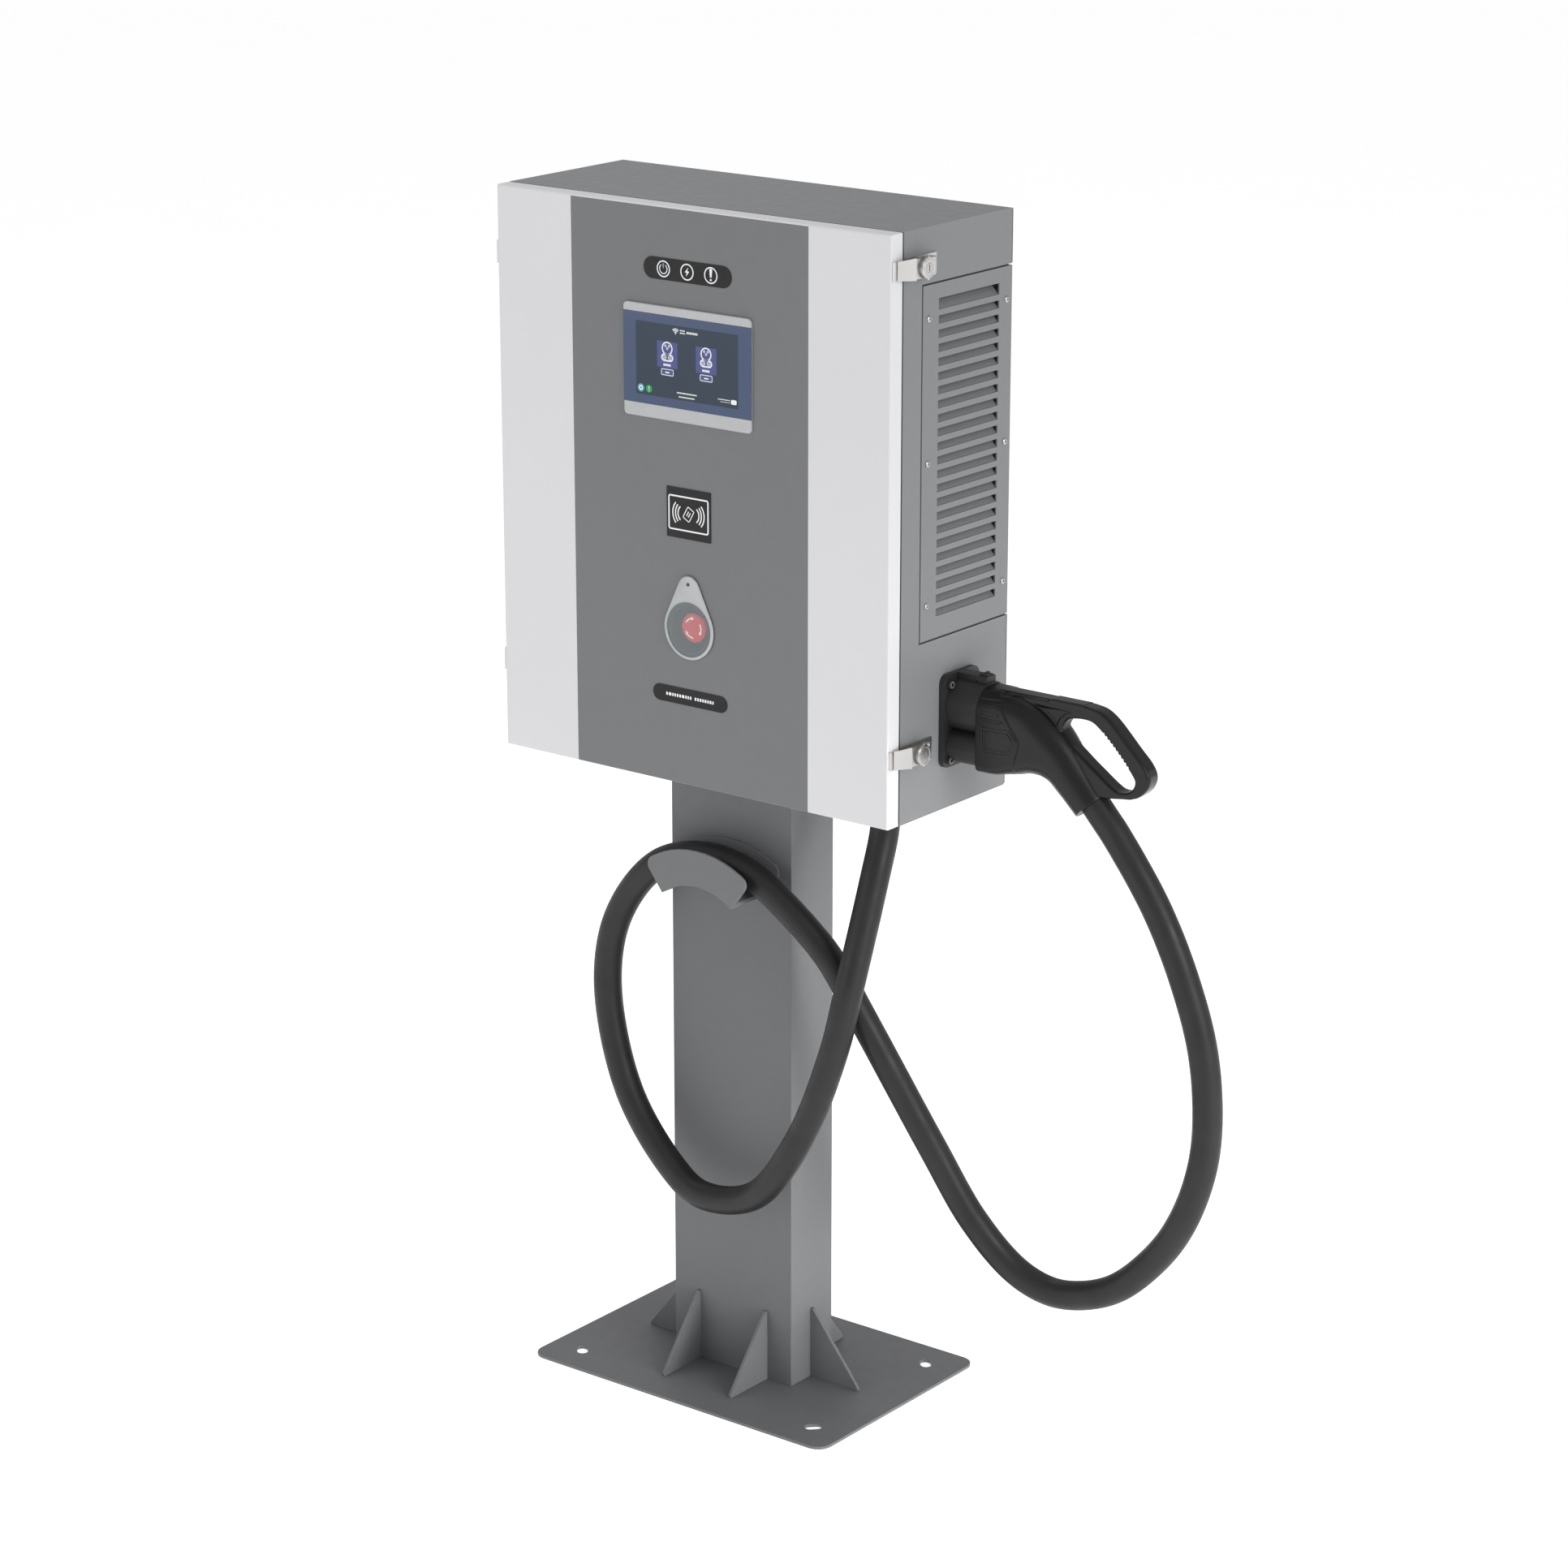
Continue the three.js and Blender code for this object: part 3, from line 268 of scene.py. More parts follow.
def clear_lens():
    """Tinted clear plastic: mostly see-through, with a milky tint and a glossy skin."""
    lens = Surface("cover_lens_clear", rgb(156, 166, 168), 0.12)
    lens.mottle(lens.noise(14.0, 3.0), 0.05)
    lens.bump(lens.noise(60.0, 2.0), 0.00002)
    clear = lens.node("ShaderNodeBsdfTransparent")
    mix = lens.node("ShaderNodeMixShader")
    facing = lens.node("ShaderNodeLayerWeight", Blend=0.25)
    lens.link(lens.spread(facing.outputs["Facing"], 0.24, 0.75, 0.0, 1.0), mix.inputs[0])
    lens.link(clear.outputs[0], mix.inputs[1])
    lens.link(lens.shader.outputs[0], mix.inputs[2])
    lens.link(mix.outputs[0], lens.tree.nodes["Material Output"].inputs["Surface"])
    lens.material.diffuse_color = (0.6, 0.62, 0.61, 0.45)
    return lens.material


GREY = powder_coat("powder_grey_stand", rgb(107, 108, 110))
CABINET_GREY = powder_coat("powder_grey_cabinet", rgb(126, 127, 129))
FASCIA_GREY = powder_coat("powder_grey_fascia", rgb(113, 114, 116))
WHITE = powder_coat("powder_white_door", rgb(216, 216, 218), 0.42)
# This dark grey is painted shade on the rear panel, whose edge shows as a dark band at the cabinet's rear;
# the fan tray inside shares the dark coat.
DARK_COAT_AND_PAINTED_SHADE = powder_coat("powder_dark_and_painted_shade", rgb(66, 67, 69), 0.55)
BLACK = moulded_plastic("plastic_black_grained", rgb(41, 41, 42))
BLACK_SMOOTH = moulded_plastic("plastic_black_fine", rgb(34, 34, 36), 0.36, 0.00003)
GLOSS_BLACK = gloss_plastic("plastic_black_gloss", rgb(22, 22, 24))
NICKEL = satin_metal("nickel_satin", rgb(206, 204, 202), 0.32, (1, 1, 14))
STEEL = satin_metal("steel_screw", rgb(196, 197, 198), 0.28)
ZINC = satin_metal("zinc_sheet", rgb(176, 180, 182), 0.38, (1, 1, 6), 500.0)
ALUMINIUM = satin_metal("aluminium_module", rgb(182, 184, 186), 0.4, (12, 1, 1), 700.0)
SILVER = silver_paint()
# The red gives off some of its own colour: painted light that lifts the button out of the shade under its
# lens.
RED_PAINTED_GLOW = gloss_plastic("plastic_signal_red_painted_glow", rgb(226, 30, 38), 0.3, 0.5)
WHITE_PLASTIC = moulded_plastic("plastic_white", rgb(228, 228, 226), 0.4)
JACKET = cable_rubber()
SEAL = seal_rubber()
CUP = moulded_plastic("plastic_cup_grey", rgb(62, 68, 69), 0.5)
CONNECTOR_BLACK = moulded_plastic("plastic_connector", rgb(18, 18, 19), 0.33, 0.00003, 0.36)
# The hairlines' plastic is a lighter copy of the connector's: a painted highlight along its moulded lines.
CONNECTOR_LINE_PAINTED_HIGHLIGHT = moulded_plastic("plastic_connector_line_painted_highlight", rgb(26, 26, 27), 0.3, 0.00001, 0.5)
RING_GREY = moulded_plastic("plastic_ring_grey", rgb(112, 112, 112), 0.4, 0.00001)
CARD_BLACK = moulded_plastic("plastic_card_black", rgb(37, 37, 38), 0.5, 0.00002, 0.25)
# White and grey prints give off a little light: painted light on the door and the button, the display's own
# light on its screen.
INK_SCREEN_AND_PAINTED_GLOW = printed_ink("print_white", rgb(236, 237, 240), 0.05)
INK_PAINTED_GLOW = printed_ink("print_white_painted_glow", rgb(250, 250, 250), 0.6)
INK_GREY_PAINTED_GLOW = printed_ink("print_grey", rgb(150, 152, 155), 0.05)
GLASS = screen_glass("display_cover_glass", rgb(72, 86, 116))
SCREEN = screen_glass("display_lit_area", rgb(47, 61, 76), 0.2)
TILE = printed_ink("display_tile_blue", rgb(66, 75, 130), 0.1)
TEAL = printed_ink("display_teal", rgb(70, 160, 180), 0.1)
GREEN = printed_ink("display_green", rgb(20, 150, 70), 0.1)
LENS = clear_lens()


# -------------------- pieces
def extent(node):
    """Lowest and highest corner of a CAD node, in millimetres."""
    low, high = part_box(node)
    return low / MM, high / MM


def middle_of(node):
    low, high = extent(node)
    return (low + high) / 2


def placed(name, data):
    """A new object in the scene."""
    made = bpy.data.objects.new(name, data)
    bpy.context.scene.collection.objects.link(made)
    return made


def add_piece(name, mesh, material, body, replaces=()):
    """A visible piece that rides on a body and, where asked, takes the place of CAD nodes."""
    made = placed(name, mesh)
    made.data.materials.clear()
    made.data.materials.append(material)
    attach(made, body)
    if replaces:
        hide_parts(*replaces)
    return made


def mesh_from(name, vertices, faces, smooth_angle=35):
    """A mesh from points in millimetres: welded, facing out, shaded sharp where it bends past an angle."""
    mesh = bpy.data.meshes.new(name)
    mesh.from_pydata([tuple(Vector(v) * MM) for v in vertices], [], faces)
    made = bmesh.new()
    made.from_mesh(mesh)
    bmesh.ops.remove_doubles(made, verts=made.verts, dist=WELD)
    bmesh.ops.recalc_face_normals(made, faces=made.faces)
    for face in made.faces:
        face.smooth = True
    limit = math.radians(smooth_angle)
    for edge in made.edges:
        edge.smooth = not (len(edge.link_faces) == 2 and edge.calc_face_angle(0) > limit)
    made.to_mesh(mesh)
    made.free()
    mesh.update()
    return mesh


def arc(centre_u, centre_v, radius, start, end, steps):
    """Points round a centre from one angle to another, in degrees."""
    angles = [math.radians(start + (end - start) * i / steps) for i in range(steps + 1)]
    return [(centre_u + radius * math.cos(angle), centre_v + radius * math.sin(angle)) for angle in angles]


def circle(u, v, radius, sides=48):
    return arc(u, v, radius, 0, 360 - 360 / sides, sides - 1)


def rounded(u0, u1, v0, v1, radius, steps=8):
    """Rectangle with round corners."""
    return (
        arc(u1 - radius, v0 + radius, radius, -90, 0, steps)
        + arc(u1 - radius, v1 - radius, radius, 0, 90, steps)
        + arc(u0 + radius, v1 - radius, radius, 90, 180, steps)
        + arc(u0 + radius, v0 + radius, radius, 180, 270, steps)
    )


def skin(rows, count, loop=False):
    """Quads between rows of equally many points; a loop also joins the last row to the first."""
    faces = []
    for row in range(rows if loop else rows - 1):
        low, high = row * count, (row + 1) % rows * count
        for i in range(count):
            following = (i + 1) % count
            faces.append((low + i, low + following, high + following, high + i))
    return faces


def end_caps(rows, count):
    return [tuple(reversed(range(count))), tuple(range((rows - 1) * count, rows * count))]


def layered(layers, place, close=True):
    """Vertices and faces of equal outlines joined in order; place turns (u, v, w) into a point."""
    count = len(layers[0][1])
    vertices = [place(u, v, w) for w, outline in layers for u, v in outline]
    return vertices, skin(len(layers), count) + (end_caps(len(layers), count) if close else [])


def lathe_ring(layers, place):
    """A closed band: its outlines joined in order and the last to the first."""
    return layered(layers + [layers[0]], place, close=False)


def facing_door(u, v, w):
    return (u, w, v)


def facing_side(u, v, w):
    return (w, u, v)


def merged(*parts):
    """One vertex and face list from several."""
    vertices, faces = [], []
    for part_vertices, part_faces in parts:
        start = len(vertices)
        vertices += part_vertices
        faces += [tuple(start + i for i in face) for face in part_faces]
    return vertices, faces


def ribbon(points, width, closed=False):
    """Flat stroke along a polyline, as quads in the plane."""
    count = len(points)
    vertices, faces = [], []
    for i, point in enumerate(points):
        before = Vector(points[i - 1] if (i or closed) else point)
        after = Vector(points[(i + 1) % count] if (i + 1 < count or closed) else point)
        along = (after - before).normalized()
        across = Vector((-along.y, along.x)) * width / 2
        vertices += [tuple(Vector(point) + across), tuple(Vector(point) - across)]
    for i in range(count if closed else count - 1):
        a, b = 2 * i, 2 * ((i + 1) % count)
        faces.append((a, b, b + 1, a + 1))
    return vertices, faces


def filled(points):
    return list(points), [tuple(range(len(points)))]


def cast(loop, angles, middle):
    """Where rays from a point inside a closed outline leave it."""
    middle = np.array(middle)
    loop = np.array(loop) - middle
    following = np.roll(loop, -1, axis=0)
    hits = []
    for angle in angles:
        ray = np.array([math.cos(angle), math.sin(angle)])
        edge = following - loop
        cross = ray[0] * edge[:, 1] - ray[1] * edge[:, 0]
        cross[np.abs(cross) < 1e-9] = 1e-9
        reach = (loop[:, 0] * edge[:, 1] - loop[:, 1] * edge[:, 0]) / cross
        share = (loop[:, 0] * ray[1] - loop[:, 1] * ray[0]) / cross
        found = reach[(share >= -1e-6) & (share <= 1 + 1e-6) & (reach > 0)]
        hits.append(middle + ray * found.max())
    return np.array(hits)


def print_on(name, shapes, y, material, body="door", thickness=0.12):
    """Lays flat artwork in the door's plane at a depth, with the thickness of an ink film."""
    vertices, faces = merged(*shapes)
    mesh = bpy.data.meshes.new(name)
    mesh.from_pydata([(u * MM, y * MM, v * MM) for u, v in vertices], [], faces)
    made = bmesh.new()
    made.from_mesh(mesh)
    for face in made.faces:
        if face.normal.y > 0:
            face.normal_flip()
    made.to_mesh(mesh)
    made.free()
    art = add_piece(name, mesh, material, body)
    film = art.modifiers.new("film", "SOLIDIFY")
    film.thickness = thickness * MM
    film.offset = 1.0
    return art


# -------------------- carried-over CAD nodes
def smooth_by_angle(limit=32):
    """Node group that shades smooth across every edge flatter than a limit in degrees."""
    group = bpy.data.node_groups.new("smooth_by_angle", "GeometryNodeTree")
    group.interface.new_socket("Geometry", in_out="INPUT", socket_type="NodeSocketGeometry")
    group.interface.new_socket("Geometry", in_out="OUTPUT", socket_type="NodeSocketGeometry")
    entry = group.nodes.new("NodeGroupInput")
    leave = group.nodes.new("NodeGroupOutput")
    faces = group.nodes.new("GeometryNodeSetShadeSmooth")
    edges = group.nodes.new("GeometryNodeSetShadeSmooth")
    edges.domain = "EDGE"
    edges.inputs["Shade Smooth"].default_value = False
    angle = group.nodes.new("GeometryNodeInputMeshEdgeAngle")
    sharp = group.nodes.new("FunctionNodeCompare")
    sharp.operation = "GREATER_THAN"
    sharp.inputs["B"].default_value = math.radians(limit)
    group.links.new(angle.outputs["Unsigned Angle"], sharp.inputs["A"])
    group.links.new(sharp.outputs["Result"], edges.inputs["Selection"])
    group.links.new(entry.outputs[0], faces.inputs["Geometry"])
    group.links.new(faces.outputs[0], edges.inputs["Geometry"])
    group.links.new(edges.outputs[0], leave.inputs[0])
    return group


SMOOTH_BY_ANGLE = smooth_by_angle()


def dress(node, material, edge):
    """Gives a CAD node its finish and rolls its sharp edges over by a width in millimetres."""
    made = NODES[node]
    made.data.materials.clear()
    made.data.materials.append(material)
    weld = made.modifiers.new("weld", "WELD")
    weld.merge_threshold = 0.01 * MM
    flatten = made.modifiers.new("flatten", "DECIMATE")
    flatten.decimate_type = "DISSOLVE"
    flatten.angle_limit = math.radians(0.5)
    if edge:
        bevel = made.modifiers.new("rolled_edges", "BEVEL")
        bevel.width = edge * MM
        bevel.segments = 2
        bevel.limit_method = "ANGLE"
        bevel.angle_limit = math.radians(30)
        bevel.harden_normals = True
    made.modifiers.new("smooth", "NODES").node_group = SMOOTH_BY_ANGLE
    keep_flat = made.modifiers.new("keep_flat", "WEIGHTED_NORMAL")
    keep_flat.keep_sharp = True
    keep_flat.weight = 100


STAND = ["base_plate", "column", "cable_saddle"] + [
    f"gusset_{where}_{side}" for where in ("front", "rear", "side") for side in ("left", "right")
]
CABINET = ["cabinet_shell", "vent_panel"] + [f"hinge_cabinet_leaf_{place}" for place in PLACES]
FINISHES = [
    (GREY, 0.8, STAND),
    (CABINET_GREY, 0.6, CABINET),
    (DARK_COAT_AND_PAINTED_SHADE, 0.6, ["rear_panel"]),
    (DARK_COAT_AND_PAINTED_SHADE, 0.4, ["fan_tray"]),
    (SEAL, 0.5, ["door_gasket"]),
    (ZINC, 0.5, ["mounting_plate"]),
    (ALUMINIUM, 0.8, ["power_module"]),
    (WHITE_PLASTIC, 0.8, ["breaker_lever"]),
    (BLACK, 0.8, ["breaker", "cable_gland"]),
    (BLACK, 0.6, ["holster", "lock_block"]),
    (BLACK_SMOOTH, 0.3, ["stop_stem", "connector_nose", "fan_rotor_lower", "fan_rotor_upper"]),
    (WHITE, 0, ["door_panel"]),
    (WHITE, 0.5, [f"hinge_door_leaf_{place}" for place in PLACES]),
    (FASCIA_GREY, 0, ["fascia"]),
    (SILVER, 0.5, ["display_bezel"]),
    (GLASS, 0, ["display_glass"]),
    (CARD_BLACK, 0, ["light_strip", "card_reader", "label_strip"]),
    (CUP, 0.3, ["stop_housing"]),
    (LENS, 0, ["stop_lens"]),
    (STEEL, 0.2, ["lock_pin"]),
    (NICKEL, 0.4, [f"latch_{part}_{place}" for part in ("keeper", "base", "key") for place in PLACES]),
    (NICKEL, 0, [f"latch_arm_{place}" for place in PLACES]),
]
for finish, rolled_edge, finished_nodes in FINISHES:
    for finished_node in finished_nodes:
        dress(finished_node, finish, rolled_edge)


def latch_cap_ring(place):
    """Bright bead round the lock on a latch's cap."""
    key = middle_of(f"latch_key_{place}")
    cap = extent(f"latch_arm_{place}")[1].x
    profile = [(-0.3, 10.0), (0.3, 10.2), (0.45, 10.6), (0.3, 11.0), (-0.3, 11.2)]
    layers = [(cap + rise, circle(key.y, key.z, radius, 64)) for rise, radius in profile]
    name = f"latch_cap_ring_{place}"
    mesh = mesh_from(name, *lathe_ring(layers, facing_side), 60)
    add_piece(name, mesh, NICKEL, f"latch_arm_{place}")


BOSS_RISE = 13.0  # pillar mouths, out from the holster's back
BOSS_OFFSET = 27.5  # pillars, either side of the holster's middle
BOSS_HEIGHTS = (919, 1018.5)


def boss_ring(number, y, z):
    """Pale moulded mouth of one of the holster's screw pillars."""
    mouth = extent("holster")[0].x + BOSS_RISE
    profile = [(-0.4, 2.5), (0.15, 2.7), (0.15, 4.3), (-0.4, 4.5)]
    layers = [(mouth + rise, circle(y, z, radius, 40)) for rise, radius in profile]
    name = f"holster_boss_ring_{number}"
    mesh = mesh_from(name, *lathe_ring(layers, facing_side), 40)
    add_piece(name, mesh, RING_GREY, "post")


for latch_place in PLACES:
    latch_cap_ring(latch_place)

PILLARS = [(side, height) for height in BOSS_HEIGHTS for side in (-1, 1)]
for pillar, (pillar_side, pillar_height) in enumerate(PILLARS, 1):
    boss_ring(pillar, middle_of("holster").y + pillar_side * BOSS_OFFSET, pillar_height)


# -------------------- printed artwork on the door
FILM = 0.04  # ink stands this far off what it is printed on


def print_place(node):
    """Middle of a node seen from the front, and the depth of the first ink film on it."""
    middle = middle_of(node)
    return middle.x, middle.z, extent(node)[0].y - FILM


def moved(shape, u, v, turn=0):
    """A flat shape turned about its own origin in degrees, then moved."""
    c, s = math.cos(math.radians(turn)), math.sin(math.radians(turn))
    vertices, faces = shape
    return [(u + c * a - s * b, v + s * a + c * b) for a, b in vertices], faces


def ring(u, v, radius, stroke):
    """Band whose outer edge has the radius."""
    return ribbon(circle(u, v, radius - stroke / 2), stroke, closed=True)


def disc(u, v, radius):
    return filled(circle(u, v, radius, 32))


def bar(u0, u1, v, height):
    """Solid bar with softened corners, centred on a height."""
    return filled(rounded(u0, u1, v - height / 2, v + height / 2, min(height, u1 - u0) * 0.3, 3))


def frame_line(u0, u1, v0, v1, radius, stroke):
    return ribbon(rounded(u0, u1, v0, v1, radius, 6), stroke, closed=True)


def dashes(u0, u1, v, height, lengths, gap=0.55):
    """Row of blocks that stands in for a line of small print; lengths repeat until the row is full."""
    shapes = []
    place, index = u0, 0
    while place < u1 - 0.5:
        end = min(place + lengths[index % len(lengths)], u1)
        shapes.append(bar(place, end, v, height))
        place = end + gap
        index += 1
    return shapes


def light_strip_art():
    """Power, charging and fault pictograms."""
    u, v, face = print_place("light_strip")
    pitch = 38
    rings = [ring(u + step * pitch, v, 10.6, 1.6) for step in (-1, 0, 1)]
    power = ribbon(arc(u - pitch, v, 6.0, 125, 415, 40), 1.2)
    bolt = moved(filled([(1.9, 5.9), (-3.7, -0.7), (-0.4, -0.7), (-1.9, -5.9), (3.7, 0.9), (0.5, 0.9)]), u, v)
    wedge = [(-1.2, -2.6), (1.2, -2.6), (2.3, 7.0), (1.4, 8.3), (-1.4, 8.3), (-2.3, 7.0)]
    mark = moved(filled(wedge), u + pitch, v)
    dot = disc(u + pitch, v - 5.7, 1.4)
    print_on("light_strip_icons", [*rings, power, bolt, mark, dot], face, INK_SCREEN_AND_PAINTED_GLOW)
    stem = bar(u - pitch - 0.9, u - pitch + 0.9, v + 4, 6.4)
    print_on("light_strip_power_stem", [stem], face, INK_GREY_PAINTED_GLOW)


def reader_art():
    """Tilted card between two sets of radio arcs inside a frame."""
    u, v, face = print_place("card_reader")
    border = frame_line(u - 31.75, u + 31.75, v - 21.75, v + 21.75, 2.5, 2.0)
    arcs = []
    for radius, reach, half_angle in ((11.7, 17.0, 48), (17.0, 21.0, 40), (20.2, 25.5, 41)):
        for side, facing in ((1, 0), (-1, 180)):
            middle = u + side * (reach - radius)
            arcs.append(ribbon(arc(middle, v, radius, facing - half_angle, facing + half_angle, 16), 1.7))
    card = moved(frame_line(-5.7, 5.7, -8.2, 8.2, 1.4, 1.2), u, v, -30)
    chip = [moved(bar(-3.6, 3.6, height, 1.3), u, v, 60) for height in (-1.6, 1.6)]
    print_on("card_reader_art", [border, *arcs, card, *chip], face, INK_SCREEN_AND_PAINTED_GLOW)


def label_art():
    """Two plain rows of blocks where the real strip carries words."""
    u, v, face = print_place("label_strip")
    words = dashes(u - 39, u + 4, v, 4.2, (2.8, 4.2, 2.4, 2.0, 2.6), 1.5)
    words += dashes(u + 8, u + 39, v, 4.2, (2.8, 2.4), 1.5)
    print_on("label_strip_blocks", words, face, INK_SCREEN_AND_PAINTED_GLOW)


def plug_icon(u, v):
    """Socket pictogram: round upper face with three contacts over a wide lower face with two."""
    upper, lower = v + 7.1, v - 4.6
    shapes = [ring(u, upper, 8.7, 1.7), frame_line(u - 8.8, u + 8.8, lower - 4, lower + 4, 3.9, 1.8)]
    shapes += [ring(u + du, upper + dv, 1.6, 0.8) for du, dv in ((-3, 3.3), (3, 3.3), (0, 0))]
    for side in (-1, 1):
        shapes += [ring(u + side * 4.2, lower, 2.9, 0.8), disc(u + side * 4.2, lower, 0.9)]
    return shapes + dashes(u - 6.2, u + 6.2, v - 14, 3.0, (2.5,))


def screen_art():
    """Idle screen: clock row, two outlet tiles with a button each, and a footer. All of it is generic."""
    u, v, face = print_place("display_glass")
    half_width, half_height = 82.3, 47
    low, high = v - half_height, v + half_height
    tile_centre, button_low, button_high = v + 8.3, v - 17.8, v - 10.2
    columns = (u - 31.3, u + 31.3)
    badge = low + 8.2
    settings, assistance = u - 74.6, u - 61.4

    def print_layer(name, shapes, layer, material):
        print_on(name, shapes, face - layer * FILM, material, thickness=0.03)

    lit_area = filled(rounded(u - half_width, u + half_width, low, high, 0.5, 2))
    print_layer("screen_lit_area", [lit_area], 0, SCREEN)
    tile_low, tile_high = tile_centre - 16.7, tile_centre + 16.7
    tiles = [filled(rounded(x - 16.5, x + 16.5, tile_low, tile_high, 0.6, 2)) for x in columns]
    tiles += [filled(rounded(x - 9.6, x + 9.6, button_low, button_high, 1.5, 4)) for x in columns]
    print_layer("screen_tiles", tiles, 1, TILE)
    print_layer("screen_settings_disc", [disc(settings, badge, 5.2)], 1, TEAL)
    print_layer("screen_help_disc", [disc(assistance, badge, 4.9)], 1, GREEN)
    white = []
    for x in columns:
        white += plug_icon(x, tile_centre + 1)
        white.append(frame_line(x - 9.6, x + 9.6, button_low, button_high, 1.5, 0.9))
        white.append(bar(x - 3.4, x + 3.4, v - 14.3, 1.6))
    beacon = high - 10.6
    white += [ribbon(arc(u - 17.5, beacon, radius, 45, 135, 12), 1.2) for radius in (2.4, 4.5, 6.6)]
    white.append(disc(u - 17.5, beacon + 0.4, 0.8))
    rows = [
        (-10.4, -2.2, high - 5.2, 1.7, (1.5,), 0.55), (-10.4, -2.2, high - 8.4, 1.7, (1.9,), 0.55),
        (0.2, 18, high - 7.0, 2.9, (1.5, 1.6, 0.6), 0.55), (-16, 16, low + 9, 1.8, (1.3, 1.7, 1.0), 0.4),
        (-13, 13, low + 4, 1.8, (1.5, 1.1), 0.4), (50, 69, low + 9.5, 1.2, (1.8, 1.0), 0.3),
        (54, 69, low + 6.6, 0.7, (1.2,), 0.3),
    ]
    for start, end, height, tall, lengths, gap in rows:
        white += dashes(u + start, u + end, height, tall, lengths, gap)
    white.append(bar(u + 70.8, u + 79.8, low + 8, 6))
    white.append(ring(settings, badge, 3.2, 1.5))
    white.append(bar(assistance - 0.6, assistance + 0.6, low + 9.4, 3.6))
    white.append(disc(assistance, low + 5.6, 0.7))
    print_layer("screen_white_art", white, 2, INK_SCREEN_AND_PAINTED_GLOW)


light_strip_art()
reader_art()
label_art()
screen_art()


# -------------------- emergency button
def stop_button():
    """Mushroom button with a softly scalloped rim, a head that narrows behind it and three turning arrows."""
    low, high = extent("stop_button")
    face, back, middle = low.y, high.y, middle_of("stop_button")
    radius = (high.z - low.z) / 2 - 0.1
    lobes, sides = 12, 144

    def outline(inset, depth):
        points = []
        for i in range(sides):
            angle = 2 * math.pi * i / sides
            reach = radius - inset - depth * (0.5 - 0.5 * math.cos(lobes * angle))
            points.append((middle.x + reach * math.cos(angle), middle.z + reach * math.sin(angle)))
        return points

    profile = [(0, 6.5, 0), (0, 3.4, 0.2), (0.4, 1.6, 0.7), (1.1, 0.5, 1), (2, 0, 1.2), (3.2, 0.4, 1.2)]
    profile += [(5.5, 3, 0.8), (9, 7, 0.2), (back - face, 9, 0)]
    layers = [(face + depth, outline(inset, scallop)) for depth, inset, scallop in profile]
    mesh = mesh_from("stop_button_soft", *layered(layers, facing_door), 50)
    # The button's red gives off painted light of its own.
    add_piece("stop_button_soft", mesh, RED_PAINTED_GLOW, "stop_head", ["stop_button"])
    arrows = []
    track, sweep = 12.9, 52
    for turn in (151.5, 31.5, -88.5):
        arrows.append(ribbon(arc(middle.x, middle.z, track, turn, turn - sweep, 14), 1.9))
        head = [(track, turn - 70), (track - 2.4, turn - sweep + 1), (track + 2.4, turn - sweep + 1)]
        arrows.append(filled([arc(middle.x, middle.z, reach, angle, angle, 1)[0] for reach, angle in head]))
    # The arrows' white gives off painted light.
    print_on("stop_button_arrows", arrows, face - FILM, INK_PAINTED_GLOW, "stop_head")


stop_button()


def stop_cover():
    """Teardrop frame with rolled edges and a thin lip round its window."""
    low, high = extent("stop_cover")
    lens_low, lens_high = extent("stop_lens")
    back, front = high.y, low.y
    middle_z = middle_of("stop_lens").z
    radius = (high.x - low.x) / 2
    window = (lens_high.x - lens_low.x) / 2 - 0.6
    tip_radius = 17.0
    tip = high.z - tip_radius
    lean = math.degrees(math.asin((radius - tip_radius) / (tip - middle_z)))
    edge = arc(0, middle_z, radius, 180 - lean, 360 + lean, 90)
    edge += arc(0, tip, tip_radius, lean, 180 - lean, 40)
    angles = np.linspace(-math.pi, math.pi, 240, endpoint=False)
    outer = cast(edge, angles, (0, middle_z))
    vertices = []
    for angle, (u, v) in zip(angles, outer):
        along = np.array([math.cos(angle), math.sin(angle)])
        reach = np.linalg.norm([u, v - middle_z])
        profile = [(window, back), (window, front + 0.7), (window + 0.3, front + 0.2), (window + 0.9, front)]
        profile += [(window + 1.3, front + 0.15), (window + 1.5, front + 0.35), (reach - 1.6, front + 0.35)]
        profile += [(reach - 0.9, front + 0.55), (reach - 0.3, front + 1.0), (reach, front + 1.8)]
        profile.append((reach, back))
        vertices += [(along[0] * s, depth, middle_z + along[1] * s) for s, depth in profile]
    mesh = mesh_from("stop_cover_soft", vertices, skin(len(angles), len(profile), loop=True), 40)
    body = "stop_cover_swing_part"
    add_piece("stop_cover_soft", mesh, SILVER, body, ["stop_cover"])
    # The black end, flush with the plate's face, is partly the hinge peg and partly painted shade: the dark
    # of the hole it sits in, which the plate does not cut.
    pin_z = high.z - 11
    steps = [(back, 2.4), (front + 0.4, 2.4), (front + 0.3, 2.1)]
    pin_and_hole_shade = layered([(depth, circle(0, pin_z, pin_radius, 24)) for depth, pin_radius in steps], facing_door)
    add_piece("stop_cover_pin_and_hole_shade", mesh_from("stop_cover_pin_and_hole_shade", *pin_and_hole_shade), BLACK_SMOOTH, body)


stop_cover()


